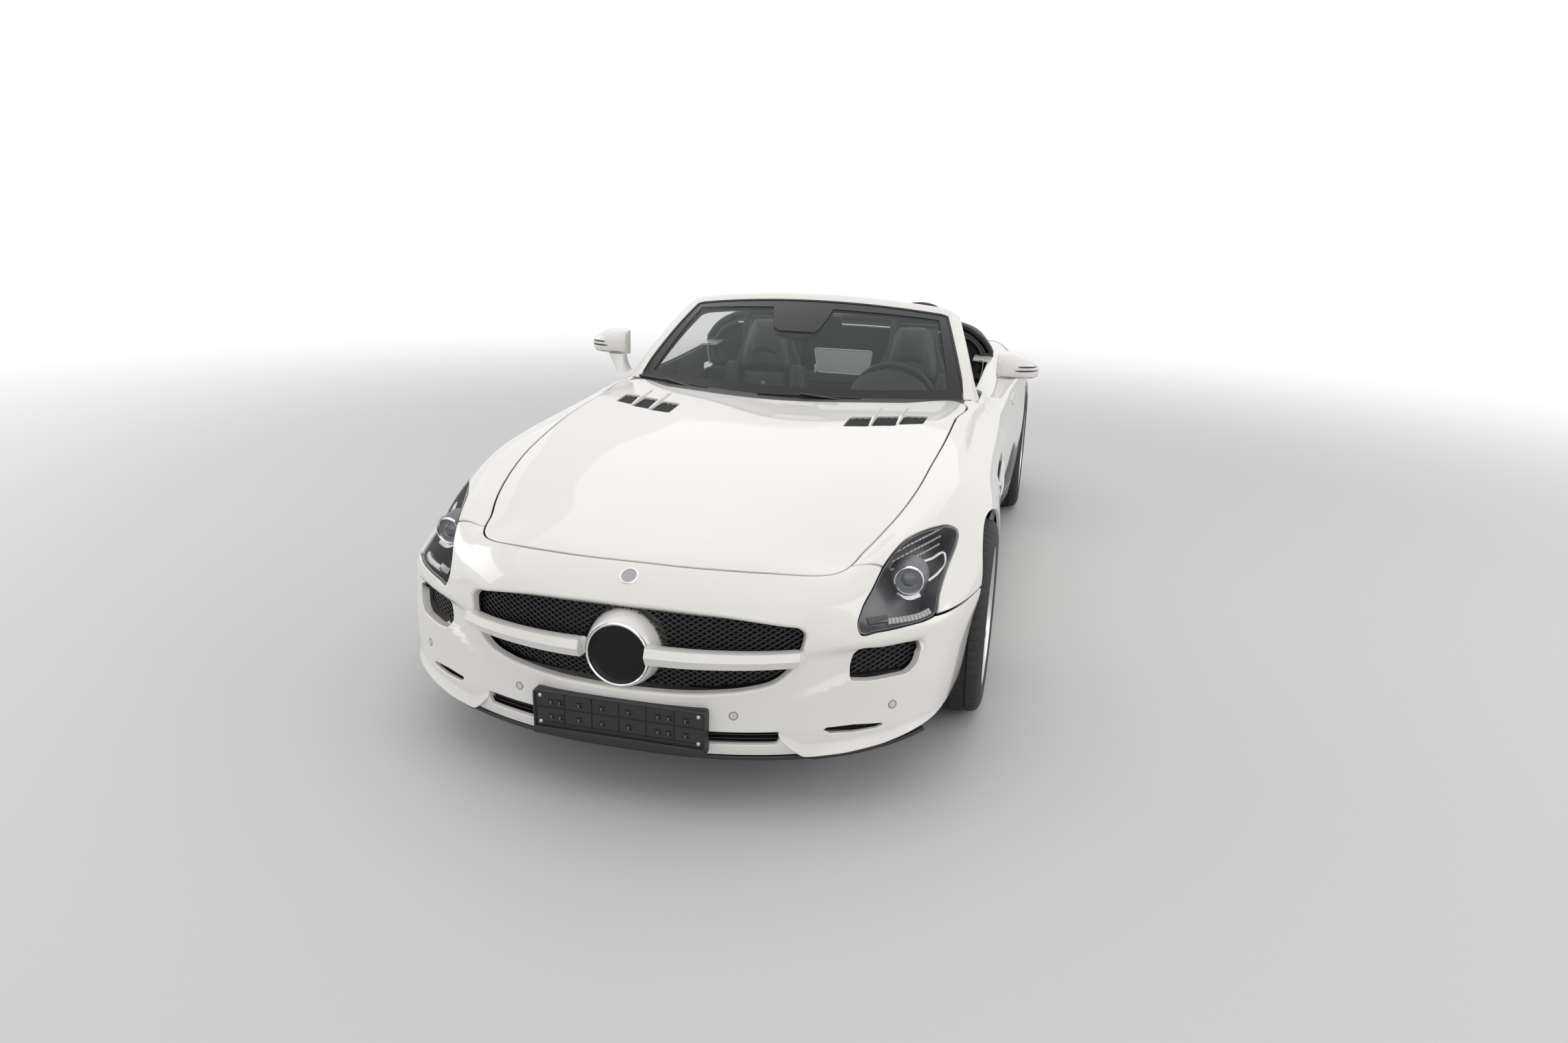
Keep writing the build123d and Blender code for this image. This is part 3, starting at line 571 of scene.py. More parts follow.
def shell(surface, depth=SKIN, roll=ROLL, turns=3, mesh=None, finish=0):
    """A closed sheet-metal panel: rolled edges, a turned-in flange and an inner skin."""
    points, normals, faces, edges = surface
    mesh = mesh or Mesh()
    count = len(points)
    depth = depth(points) if callable(depth) else np.full(count, depth)
    roll = roll(points) if callable(roll) else np.full(count, roll)
    out = np.zeros_like(points)
    for a, b in edges:
        side = np.cross(points[b] - points[a], normals[a] + normals[b])
        side /= np.linalg.norm(side) + 1e-12
        out[a] += side
        out[b] += side
    rim = np.array(sorted({i for edge in edges for i in edge}))
    out[rim] /= np.linalg.norm(out[rim], axis=1, keepdims=True) + 1e-12
    all_points, rings, ring_normals = [points], [np.arange(count)], [normals]
    where = np.full(count, -1)
    where[rim] = np.arange(len(rim))
    base = count
    for turn in list(range(1, turns + 1)) + ["flange"]:
        angle = math.pi / 2 if turn == "flange" else math.pi / 2 * turn / turns
        r = roll[rim][:, None]
        drop = depth[rim][:, None] if turn == "flange" else r * (1 - math.cos(angle))
        all_points.append(points[rim] + out[rim] * r * math.sin(angle) - normals[rim] * drop)
        index = np.full(count, -1)
        index[rim] = base + np.arange(len(rim))
        rings.append(index)
        turned = np.zeros_like(normals)
        turned[rim] = normals[rim] * math.cos(angle) + out[rim] * math.sin(angle)
        ring_normals.append(turned)
        base += len(rim)
    inner = points - normals * depth[:, None]
    inner_index = base + np.arange(count)
    inner_index[rim] = rings[-1][rim]
    all_points.append(inner)
    out_faces, corner_normals = [], []
    for face in faces:
        out_faces.append(face)
        corner_normals += [normals[i] for i in face]
    for below_ring, above_ring, n0, n1 in zip(rings, rings[1:], ring_normals, ring_normals[1:]):
        for a, b in edges:
            out_faces.append([above_ring[a], above_ring[b], below_ring[b], below_ring[a]])
            corner_normals += [n1[a], n1[b], n0[b], n0[a]]
    for face in faces:
        out_faces.append([inner_index[i] for i in reversed(face)])
        corner_normals += [-normals[i] for i in reversed(face)]
    gathered = np.concatenate(all_points)
    used = np.unique(np.concatenate([np.array(f) for f in out_faces]))
    place = np.full(len(gathered), -1)
    place[used] = np.arange(len(used))
    out_faces = [[int(place[i]) for i in face] for face in out_faces]
    return mesh.add(gathered[used], out_faces, finish, np.array(corner_normals))


def steps(low, high, spacing):
    return np.linspace(low, high, max(2, int(round((high - low) / spacing)) + 1))


# ---------- materials ----------
FINISH, SLOT = {}, {}        # finish name: its material, and the library slot that it stands for


def material(name, slot, colour, roughness, metallic=0.0, pattern="noise", scale=60.0, stretch=(1, 1, 1),
             vary=0.08, bump=0.0, depth=0.001, wear=0.12, **sockets):
    """A procedural finish: colour and roughness vary with a pattern, which may also raise the surface."""
    made = bpy.data.materials.new(name)
    made.use_nodes = True
    nodes, links = made.node_tree.nodes, made.node_tree.links
    shader = nodes["Principled BSDF"]
    shader.inputs["Metallic"].default_value = metallic
    for socket, value in sockets.items():
        shader.inputs[socket.replace("_", " ")].default_value = value
    coordinates = nodes.new("ShaderNodeTexCoord")
    mapping = nodes.new("ShaderNodeMapping")
    mapping.inputs["Scale"].default_value = stretch
    links.new(coordinates.outputs["Object"], mapping.inputs["Vector"])
    if pattern in ("leather", "perforated", "cells"):
        texture = nodes.new("ShaderNodeTexVoronoi")
        texture.feature = "SMOOTH_F1" if pattern == "leather" else "F1"
        value = texture.outputs["Distance"]
    elif pattern == "weave":
        texture = nodes.new("ShaderNodeTexChecker")
        value = texture.outputs["Fac"]
    elif pattern == "rings":
        texture = nodes.new("ShaderNodeTexWave")
        texture.inputs["Distortion"].default_value = 0.4
        value = texture.outputs["Fac"]
    else:
        texture = nodes.new("ShaderNodeTexNoise")
        texture.inputs["Detail"].default_value = 5
        value = texture.outputs["Fac"]
    texture.inputs["Scale"].default_value = scale
    links.new(mapping.outputs["Vector"], texture.inputs["Vector"])
    cloud = nodes.new("ShaderNodeTexNoise")
    cloud.inputs["Scale"].default_value = 3.1
    cloud.inputs["Detail"].default_value = 6
    links.new(coordinates.outputs["Object"], cloud.inputs["Vector"])
    both_patterns = nodes.new("ShaderNodeMath")
    both_patterns.operation = "MULTIPLY_ADD"
    both_patterns.inputs[1].default_value = 0.5
    links.new(value, both_patterns.inputs[0])
    half = nodes.new("ShaderNodeMath")
    half.operation = "MULTIPLY"
    half.inputs[1].default_value = 0.5
    links.new(cloud.outputs["Fac"], half.inputs[0])
    links.new(half.outputs[0], both_patterns.inputs[2])
    tint = nodes.new("ShaderNodeMix")
    tint.data_type = "RGBA"
    low = [c * (1 - vary) for c in colour]
    high = [min(1.0, c * (1 + vary)) for c in colour]
    tint.inputs["A"].default_value = (*low, 1)
    tint.inputs["B"].default_value = (*high, 1)
    links.new(both_patterns.outputs[0], tint.inputs["Factor"])
    links.new(tint.outputs["Result"], shader.inputs["Base Color"])
    gloss = nodes.new("ShaderNodeMapRange")
    gloss.inputs["To Min"].default_value = max(0.02, roughness * (1 - wear))
    gloss.inputs["To Max"].default_value = min(1.0, roughness * (1 + wear))
    links.new(both_patterns.outputs[0], gloss.inputs["Value"])
    links.new(gloss.outputs["Result"], shader.inputs["Roughness"])
    if bump:
        raised = nodes.new("ShaderNodeBump")
        raised.inputs["Strength"].default_value = bump
        raised.inputs["Distance"].default_value = depth
        links.new(value, raised.inputs["Height"])
        links.new(raised.outputs["Normal"], shader.inputs["Normal"])
    FINISH[name], SLOT[name] = made, slot
    return made


material("pearl", "pearl_paint", (0.800, 0.780, 0.735), 0.34, pattern="cells", scale=900, vary=0.012,
         wear=0.08, Coat_Weight=1.0, Coat_Roughness=0.04, Specular_IOR_Level=0.5)
# A darker copy of the pearl paint: painted shade, used on the parking sensors' faces.
material("pearl_painted_shade", "pearl_paint", (0.60, 0.59, 0.56), 0.34, pattern="cells", scale=900, vary=0.012,
         Coat_Weight=1.0, Coat_Roughness=0.04)
material("satin_dark", "satin_silver", (0.30, 0.30, 0.31), 0.25, metallic=1.0, scale=300, stretch=(1, 12, 1),
         vary=0.06, bump=0.03, depth=0.0003)
material("mirror_glass", "satin_silver", (0.80, 0.82, 0.83), 0.02, metallic=1.0, scale=40, vary=0.01)
material("trim_black", "black_plastic", (0.020, 0.020, 0.021), 0.42, scale=500, vary=0.25, bump=0.15,
         depth=0.0004)
material("gloss_black", "black_plastic", (0.008, 0.008, 0.009), 0.12, scale=200, vary=0.2, Coat_Weight=1.0)
material("mesh_black", "black_plastic", (0.012, 0.012, 0.012), 0.5, scale=300, vary=0.3)
material("inner_black", "black_plastic", (0.010, 0.010, 0.010), 0.85, scale=40, vary=0.4, bump=0.3,
         depth=0.002)
material("cast_metal", "dark_metal", (0.16, 0.16, 0.165), 0.55, metallic=0.8, scale=180, vary=0.3, bump=0.3,
         depth=0.001, wear=0.3)
material("satin", "satin_silver", (0.62, 0.62, 0.63), 0.28, metallic=1.0, scale=260, stretch=(1, 1, 14),
         vary=0.05, bump=0.04, depth=0.0004)
material("chrome", "satin_silver", (0.86, 0.86, 0.87), 0.07, metallic=1.0, scale=90, vary=0.02)
material("wheel_silver", "satin_silver", (0.58, 0.58, 0.59), 0.27, metallic=0.85, pattern="cells", scale=1200,
         vary=0.04, Coat_Weight=0.6, Coat_Roughness=0.08)
material("disc_steel", "dark_metal", (0.42, 0.42, 0.43), 0.32, metallic=1.0, pattern="rings", scale=120,
         vary=0.1, bump=0.05, depth=0.0003)
material("lens", "clear_lens", (0.010, 0.011, 0.012), 0.03, scale=30, vary=0.01, Alpha=0.06, Coat_Weight=1.0,
         Coat_Roughness=0.01)
material("lamp_glass", "clear_lens", (0.10, 0.115, 0.13), 0.04, scale=40, vary=0.1, Coat_Weight=1.0)
material("led", "clear_lens", (0.46, 0.455, 0.46), 0.22, pattern="cells", scale=160, vary=0.15, bump=0.3,
         depth=0.002, Coat_Weight=1.0)
material("lamp_grey", "dark_metal", (0.17, 0.175, 0.185), 0.38, metallic=0.35, scale=60, vary=0.12)
material("red_glass", "red_lens", (0.30, 0.006, 0.010), 0.10, pattern="cells", scale=150, vary=0.25, bump=0.2,
         depth=0.001, Coat_Weight=1.0, Coat_Roughness=0.02)
material("screen", "screen_glass", (0.080, 0.104, 0.095), 0.02, scale=10, vary=0.02, Alpha=0.25,
         Specular_IOR_Level=0.35)
material("frit", "screen_glass", (0.008, 0.009, 0.009), 0.22, scale=60, vary=0.15, Specular_IOR_Level=0.3)
material("emblem_black", "black_plastic", (0.006, 0.006, 0.007), 0.30, scale=120, vary=0.2,
         Specular_IOR_Level=0.25)
material("rubber", "tyre_rubber", (0.022, 0.022, 0.022), 0.72, scale=220, vary=0.3, bump=0.25, depth=0.0006,
         wear=0.2)
material("leather", "black_leather", (0.024, 0.024, 0.025), 0.44, pattern="leather", scale=420, vary=0.2,
         bump=0.35, depth=0.0009, wear=0.25)
material("perforated", "black_leather", (0.030, 0.030, 0.031), 0.50, pattern="perforated", scale=230,
         vary=0.25, bump=0.5, depth=0.0012, wear=0.25)
material("thread", "black_leather", (0.20, 0.20, 0.205), 0.6, pattern="weave", scale=600, vary=0.3, bump=0.4,
         depth=0.0004)
material("soft_black", "black_plastic", (0.026, 0.026, 0.027), 0.62, pattern="leather", scale=600, vary=0.2,
         bump=0.3, depth=0.0006)
material("carpet", "black_leather", (0.018, 0.018, 0.019), 0.95, scale=1200, vary=0.5, bump=0.8, depth=0.003,
         Sheen_Weight=0.4)
material("canvas", "soft_top_fabric", (0.022, 0.022, 0.024), 0.88, pattern="weave", scale=700, vary=0.35,
         bump=0.5, depth=0.0008, Sheen_Weight=0.3)
material("dash_leather", "black_leather", (0.030, 0.030, 0.031), 0.62, pattern="leather", scale=700,
         vary=0.15, bump=0.22, depth=0.0006, wear=0.15)
material("pale_plastic", "screen_glass", (0.86, 0.95, 0.92), 0.28, scale=30, vary=0.03, Coat_Weight=0.4)
material("pale_rim", "screen_glass", (0.86, 0.91, 0.89), 0.22, scale=50, vary=0.02, Coat_Weight=0.5)
material("plate_pale", "black_plastic", (0.72, 0.72, 0.71), 0.35, scale=60, vary=0.03)
material("sensor_black", "black_plastic", (0.012, 0.011, 0.010), 0.45, scale=200, vary=0.2,
         Specular_IOR_Level=0.25)
material("caliper_grey", "dark_metal", (0.22, 0.22, 0.225), 0.35, metallic=0.6, scale=180, vary=0.12,
         bump=0.1, depth=0.0005)

# ---------- body panels ----------
EDGE = GAP / 2 + ROLL
TOP_STEP, FLANK_STEP = 0.017, 0.015
DOOR_SKIN = 0.016
VENTS = [Outline([(x, s, 0) for x, s in corners], (0, 0, 1), corner=.010) for corners in (
    [(.346, 1.374), (.349, 1.522), (.434, 1.548), (.438, 1.404)],
    [(.447, 1.416), (.447, 1.570), (.533, 1.604), (.534, 1.458)],
    [(.541, 1.478), (.543, 1.622), (.636, 1.656), (.629, 1.528)])]
FINS = [((.4415, 1.408), (.4400, 1.550), (.4460, 1.705)), ((.5370, 1.466), (.5385, 1.600), (.5460, 1.745))]
LID = Outline([(0, 3.566, 0), (.40, 3.566, 0), (.60, 3.572, 0), (.634, 3.60, 0), (.630, 3.80, 0),
               (.604, 4.18, 0), (.566, 4.38, 0), (.538, 4.49, 0), (.50, 4.528, 0), (.40, 4.536, 0),
               (0, 4.536, 0)],
              (0, 0, 1), mirrored=True)
TAIL_LAMP = Outline([(.425, 4.60, .700), (.60, 4.56, .695), (.78, 4.45, .692), (.875, 4.32, .697),
                     (.902, 4.25, .722), (.895, 4.24, .752), (.86, 4.31, .768), (.74, 4.43, .770),
                     (.56, 4.54, .768), (.435, 4.58, .765), (.420, 4.59, .745), (.418, 4.60, .712)],
                     (0, 1, 0))
PLATE_NOTCH = Outline([(.268, 4.6, .40), (.268, 4.6, .56)], (0, 1, 0), mirrored=True, corner=.022)


def build_bonnet():
    across = np.concatenate([steps(0, .33, TOP_STEP), steps(.345, .645, .0075), steps(.66, .76, TOP_STEP)])
    x = np.concatenate([-across[:0:-1], across])
    s = np.concatenate([steps(.13, .40, .0105), steps(.415, 1.36, TOP_STEP), steps(1.372, 1.66, .0085),
                        steps(1.675, 1.98, TOP_STEP)])
    cuts = [within(BONNET)] + [outside(mirrored_cut(v), ROLL) for v in VENTS]
    shell(patch(from_above, x, s, cuts)).build("bonnet_panel", "bonnet", "pearl", ["bonnet"])


def above_sill(p):
    return SILL_TOP + EDGE - p[:, 2]


def build_front_wing():
    surface = patch(around_flank, steps(.335, 2.035, FLANK_STEP), FLANK_ANGLES, [
        within(wing_seam), outside(BONNET), outside(LAMP, LAMP_GAP), OFF_FRONT_ARCH,
        within(before(DOOR_FRONT)), outside(GILL, ROLL), above_sill,
        lambda p: np.where(p[:, 1] > COWL_FRONT, WING_INNER - p[:, 0], -1.0)])
    build_pairs((shell(surface), "front_wing_skin", "chassis", "pearl", "front_wing_{}"))


def build_door_skin():
    def beltline(p):
        inner = DOOR_INNER + .034 * (1 - smoothstep(2.27, 2.31, p[:, 1]))
        return np.where(p[:, 2] > .7, inner - p[:, 0], -1.0)

    surface = patch(around_flank, steps(2.0, 3.1, FLANK_STEP), FLANK_ANGLES, [
        outside(before(DOOR_FRONT)), within(before(DOOR_REAR)), above_sill, beltline])
    build_pairs((shell(surface, depth=DOOR_SKIN), "door_skin", "door_{}", "pearl", "door_{}"))


LID_REAR, BUMPER_FRONT, BUMPER_TOP = 4.541, 4.026, 0.607
HOOD_REAR = 3.564            # ahead of this the rear wing ends beside the folded top


def rear_seam(p):
    """Negative on the rear wing, positive on the rear bumper."""
    s, z = p[:, 1], p[:, 2]
    return np.maximum(s - LID_REAR, np.minimum(s - BUMPER_FRONT, BUMPER_TOP - z))


def build_rear_wing():
    surface = patch(around_flank, steps(3.06, 4.56, FLANK_STEP), np.radians(np.arange(-60, 125, 2.4)), [
        outside(before(DOOR_REAR)), within(rear_seam), outside(LID), outside(TAIL_LAMP, LAMP_GAP),
        OFF_REAR_ARCH,
        lambda p: np.where(p[:, 1] < 3.30, SILL_TOP + EDGE, BODY_FOOT) - p[:, 2],
        lambda p: np.where(p[:, 1] < HOOD_REAR, .692, .50) - p[:, 0]])
    build_pairs((shell(surface), "rear_wing_skin", "chassis", "pearl", "rear_wing_{}"))


MOUTH_HALF, MOUTH_LOW, MOUTH_HIGH = 0.53, 0.34, 0.63


def at_mouth_height(p):
    return (p[:, 2] > MOUTH_LOW) & (p[:, 2] < MOUTH_HIGH)


def lip_depth(p):
    """The grille and intake openings turn in further than a shut line."""
    return np.where((p[:, 1] < 0.40) & at_mouth_height(p), 0.026, SKIN)


def lip_roll(p):
    mouth = (np.abs(p[:, 0]) < MOUTH_HALF) & (p[:, 1] < 0.20) & at_mouth_height(p)
    return np.where(mouth, 0.010, ROLL)


def build_front_bumper():
    slot = Outline([(0, 0, .266), (.458, 0, .266), (.440, 0, .226), (0, 0, .226)], (0, -1, 0), mirrored=True,
                   corner=.005)
    azimuth = np.radians(np.arange(-81, 81.1, 0.85))
    elevation = np.radians(np.concatenate([np.arange(-24, -15, .6), np.arange(-15, 27, .8)]))
    cuts = [outside(mirrored_cut(wing_seam)), outside(BONNET), outside(mirrored_cut(LAMP), LAMP_GAP),
            outside(GRILLE, .010), outside(mirrored_cut(INTAKE), ROLL), outside(slot, ROLL),
            outside(mirrored_cut(OUTER_SLOT), .002), OFF_FRONT_ARCH,
            lambda p: np.interp(np.abs(p[:, 0]), [.50, .53, .62, .72, .81, .86, .92],
                                [.190, .192, .197, .212, .238, .250, .240]) - p[:, 2]]
    surface = patch(NOSE_CHART, azimuth, elevation, cuts)
    shell(surface, lip_depth, lip_roll).build("front_bumper_skin", "chassis", "pearl", ["front_bumper"])


def build_boot_lid():
    across = steps(0, .66, TOP_STEP)
    x = np.concatenate([-across[:0:-1], across])
    surface = patch(from_above, x, steps(3.55, 4.56, TOP_STEP), [within(LID)])
    shell(surface).build("boot_lid_panel", "boot_lid", "pearl", ["boot_lid"])


def build_rear_bumper():
    surface = patch(TAIL_CHART, np.radians(np.arange(-82, 82.1, 1.0)), np.radians(np.arange(-24, 50, .95)), [
        outside(mirrored_cut(rear_seam)), outside(LID), outside(mirrored_cut(TAIL_LAMP), LAMP_GAP),
        outside(PLATE_NOTCH, .002), OFF_REAR_ARCH,
        lambda p: .20 + .10 * (1 - smoothstep(.40, .47, np.abs(p[:, 0]))) - p[:, 2]])
    shell(surface).build("rear_bumper_skin", "chassis", "pearl", ["rear_bumper"])


def build_sill():
    surface = patch(around_flank, steps(1.34, 3.33, .02), np.radians(np.arange(-66, -20, 2.4)), [
        within(below(SILL_TOP)), lambda p: BODY_FOOT - p[:, 2], OFF_FRONT_ARCH, OFF_REAR_ARCH])
    build_pairs((shell(surface), "sill_skin", "chassis", "pearl", "side_sills"))


# ---------- turned, swept and lofted shapes ----------
def lathe(profile, centre, axis=(1, 0, 0), count=64, ring=False):
    """Turns (along, radius) pairs about an axis; ring closes the profile on itself."""
    axis = np.array(axis, float) / np.linalg.norm(axis)
    first = np.cross(axis, (0, 0, 1) if abs(axis[2]) < 0.9 else (1, 0, 0))
    first /= np.linalg.norm(first)
    second = np.cross(axis, first)
    angle = np.linspace(0, 2 * math.pi, count, endpoint=False)[:, None]
    spokes = np.cos(angle) * first + np.sin(angle) * second
    rings = [np.array(centre) + axis * along + spokes * radius for along, radius in profile]
    return loop_loft(rings) if ring else loft(rings)


def sweep(path, section, up=(0, 0, 1), caps=True):
    """Carries a section of (across, up) pairs along a path; the section may change on the way."""
    path = np.asarray(path, float)
    along = np.gradient(path, axis=0)
    along /= np.linalg.norm(along, axis=1, keepdims=True)
    across = np.cross(along, up)
    across /= np.linalg.norm(across, axis=1, keepdims=True)
    top = np.cross(across, along)
    section = np.asarray(section, float)
    if section.ndim == 2:
        section = np.tile(section, (len(path), 1, 1))
    rings = path[:, None] + across[:, None] * section[..., :1] + top[:, None] * section[..., 1:]
    return loft(rings, caps=caps)


def circle(radius, count=12, flat=1.0):
    angle = np.linspace(0, 2 * math.pi, count, endpoint=False)
    return np.column_stack([radius * np.cos(angle), flat * radius * np.sin(angle)])


def rounded(width, height, radius, turns=3):
    """A rounded rectangle of (across, up) pairs about its middle."""
    points = []
    for i, (cx, cy) in enumerate(((1, 1), (-1, 1), (-1, -1), (1, -1))):
        for k in range(turns + 1):
            a = math.pi / 2 * (i + k / turns)
            points.append((cx * (width / 2 - radius) + radius * math.cos(a),
                           cy * (height / 2 - radius) + radius * math.sin(a)))
    return np.array(points)


def curve_through(points, count):
    """Evenly spaced points on a smooth open curve."""
    points = np.asarray(points, float)
    along = np.concatenate([[0], np.cumsum(np.linalg.norm(np.diff(points, axis=0), axis=1))])
    places = np.linspace(0, along[-1], count)
    knots = np.tile(along, (count, 1))
    return np.stack([hermite(knots, np.tile(points[:, k], (count, 1)), places)
                     for k in range(points.shape[1])], 1)


def prism(ring, direction, bevel=0.002):
    """A plate from a ring of points, thick along direction, with bevelled edges."""
    ring, direction = np.asarray(ring, float), np.asarray(direction, float)
    middle = ring.mean(0)
    inset = 1 - bevel / np.linalg.norm(ring - middle, axis=1, keepdims=True).clip(4 * bevel)
    small = middle + (ring - middle) * inset
    step = direction / np.linalg.norm(direction) * bevel
    return loft([small, ring + step, ring + direction - step, small + direction])


def block(low, high, bevel=0.004):
    """A bevelled box between two corners."""
    low, high = np.array(low, float), np.array(high, float)
    middle = (low + high) / 2
    outline = rounded(high[0] - low[0], high[1] - low[1], bevel)
    ring = np.column_stack([middle[0] + outline[:, 0], middle[1] + outline[:, 1],
                            np.full(len(outline), low[2])])
    return prism(ring, (0, 0, high[2] - low[2]), bevel)


# ---------- wheels ----------
TWIN_SPOKES = 5
SPOKE_LEAN = .27             # half the angle between twins, in radians
BOLT_CIRCLE = .052
TREAD_BLOCKS = 60
DISC_AT, DISC_HALF = -.052, .013
FRONT_HUB, REAR_HUB = (.832, FRONT_AXLE, FRONT_HUB_Z), (.820, REAR_AXLE, REAR_HUB_Z)
FRONT_TYRE = dict(radius=.334, width=.266, rim=.241)
REAR_TYRE = dict(radius=.342, width=.294, rim=.254)


def tyre_mesh(centre, radius, width, rim):
    """A low-profile tyre with ribs around it and blocks cut across its shoulders."""
    half = width / 2
    wall = [(half - .018, rim - .004), (half - .006, rim + .006), (half - .004, rim + .016),
            (half - .001, rim + .03), (half, (rim + radius) / 2), (half - .003, radius - .032),
            (half - .005, radius - .030), (half - .007, radius - .022), (half - .016, radius - .010),
            (half - .030, radius - .0035)]
    tread, cut = [], 0.006
    edges = [half - .048, half - .052, half - .060, half - .064, .030, .026, .018, .014]
    for k, x in enumerate(edges):
        grooved = k % 4 in (1, 2)
        tread.append((x, radius - (cut if grooved else 0) - .0010 * (x / half) ** 2))
    outer = wall + tread
    profile = outer + [(-x, r) for x, r in reversed(outer)]
    profile += [(-half + .030, rim - .006), (half - .030, rim - .006)]
    columns = TREAD_BLOCKS * 4
    points, faces = lathe(profile, centre, count=columns, ring=True)
    grid = points.reshape(len(profile), columns, 3)
    for row, (x, r) in enumerate(profile):
        shoulder = r > radius - .012 and abs(x) > half - .055
        rib = r > radius - .004 and .060 > abs(x) - .010 > .014
        if shoulder or rib:
            sunk = np.arange(columns) % 4 == (0 if shoulder else 2)
            slope = 0 if shoulder else 1
            shifted = np.roll(sunk, slope)
            offset = grid[row] - np.array(centre)
            offset[:, 0] = 0
            grid[row][shifted] -= (offset / np.linalg.norm(offset, axis=1, keepdims=True) * .004)[shifted]
    return grid.reshape(-1, 3), faces


def spoke(centre, angle, rim, dish):
    """One spoke, from the hub out to the rim's lip."""
    radii = np.linspace(.040, rim - .010, 9)
    share = (radii - radii[0]) / (radii[-1] - radii[0])
    face = dish[0] + (dish[1] - dish[0]) * share ** 1.6
    turn = angle * (0.60 + 0.40 * share)
    width = .030 - .012 * share + .010 * share ** 4
    thick = .034 - .014 * share
    rings = []
    for r, x, a, w, t in zip(radii, face, turn, width, thick):
        outline = [(-.5, 0), (-.42, .10), (0, .13), (.42, .10), (.5, 0), (.36, -.95), (-.36, -.95)]
        side = np.array((0, -math.sin(a), math.cos(a)))
        out = np.array((0, math.cos(a), math.sin(a)))
        rings.append([np.array(centre) + out * r + side * w * p + np.array((x + t * q, 0, 0))
                      for p, q in outline])
    return rings


def build_wheel(name, centre, radius, width, rim, side):
    half, body = width / 2, f"wheel_{name}"
    tyre = Mesh().solid(*tyre_mesh(centre, radius, width, rim))
    tyre.build(f"tread_{name}", body, "rubber", [f"tyre_{name}"], side)
    wheel = Mesh()
    lip = [(half - .012, rim + .004), (half - .006, rim + .003), (half - .006, rim - .002),
           (half - .012, rim - .008), (half - .030, rim - .012), (half - .052, rim - .018), (0, rim - .022),
           (-half + .02, rim - .012), (-half + .012, rim + .004), (-half + .018, rim + .004),
           (-half + .024, rim - .007), (0, rim - .015), (half - .040, rim - .010), (half - .018, rim - .004)]
    wheel.solid(*lathe(lip, centre, count=96, ring=True))
    dish = (half - .040, half - .016)
    for k in range(TWIN_SPOKES):
        middle = 2 * math.pi * k / TWIN_SPOKES + math.pi / 2
        for lean in (-SPOKE_LEAN, SPOKE_LEAN):
            rings = np.array(spoke((0, 0, 0), lean, rim - .004, dish))
            turned = rings.copy()
            turned[..., 1] = rings[..., 1] * math.cos(middle) - rings[..., 2] * math.sin(middle)
            turned[..., 2] = rings[..., 1] * math.sin(middle) + rings[..., 2] * math.cos(middle)
            wheel.solid(*loft(turned + centre))
    hub = [(half - .075, .030), (half - .075, .074), (half - .044, .072), (half - .036, .062),
           (half - .035, .036), (half - .035, .030)]
    wheel.solid(*lathe(hub, centre, count=64, ring=True))
    cap = [(half - .060, .031), (half - .036, .031), (half - .031, .026), (half - .030, .018)]
    wheel.solid(*lathe(cap, centre, count=48))
    for k in range(TWIN_SPOKES):
        a = 2 * math.pi * (k + .5) / TWIN_SPOKES + math.pi / 2
        place = np.array(centre) + (0, BOLT_CIRCLE * math.cos(a), BOLT_CIRCLE * math.sin(a))
        bolt = [(half - .060, .0085), (half - .037, .0085), (half - .033, .0065), (half - .0335, .003)]
        wheel.solid(*lathe(bolt, place, count=6), finish=1)
    valve_at = np.array(centre) + (half - .030, -(rim - .022), 0)
    wheel.solid(*lathe([(0, .004), (.016, .004), (.018, .003)], valve_at, (.9, .45, 0), 10), finish=1)
    wheel.build(f"wheel_{name}", body, ["wheel_silver", "cast_metal"], [f"rim_{name}"], side)
    disc = Mesh()
    plate = [(DISC_AT - DISC_HALF, .105), (DISC_AT - DISC_HALF, .184), (DISC_AT + DISC_HALF, .184),
             (DISC_AT + DISC_HALF, .105)]
    disc.solid(*lathe(plate, centre, count=96, ring=True))
    bell = [(-.050, .104), (-.034, .100), (-.028, .050), (-.036, .048), (-.042, .094), (-.056, .098)]
    disc.solid(*lathe(bell, centre, count=64, ring=True), finish=1)
    disc.build(f"brake_disc_{name}", body, ["disc_steel", "cast_metal"], [], side)


def build_wheels():
    for side, word in SIDES:
        build_wheel(f"front_{word}", FRONT_HUB, side=side, **FRONT_TYRE)
        build_wheel(f"rear_{word}", REAR_HUB, side=side, **REAR_TYRE)


# ---------- grille ----------
BAR_Z = 0.490
EMBLEM = (0.0, -.002, 0.4765)
EMBLEM_SCALE = 1.045
EMBLEM_CLEAR = .110          # the mesh stops this far from the emblem's middle
CHROME_SECTION = rounded(.009, .0042, .0018)
LATTICE = (0.0245, 0.0150)


def grille_surface(x, z, back):
    """Points set back from the nose by a depth."""
    return np.column_stack([x, nose_s(np.abs(x), z) + back, z])


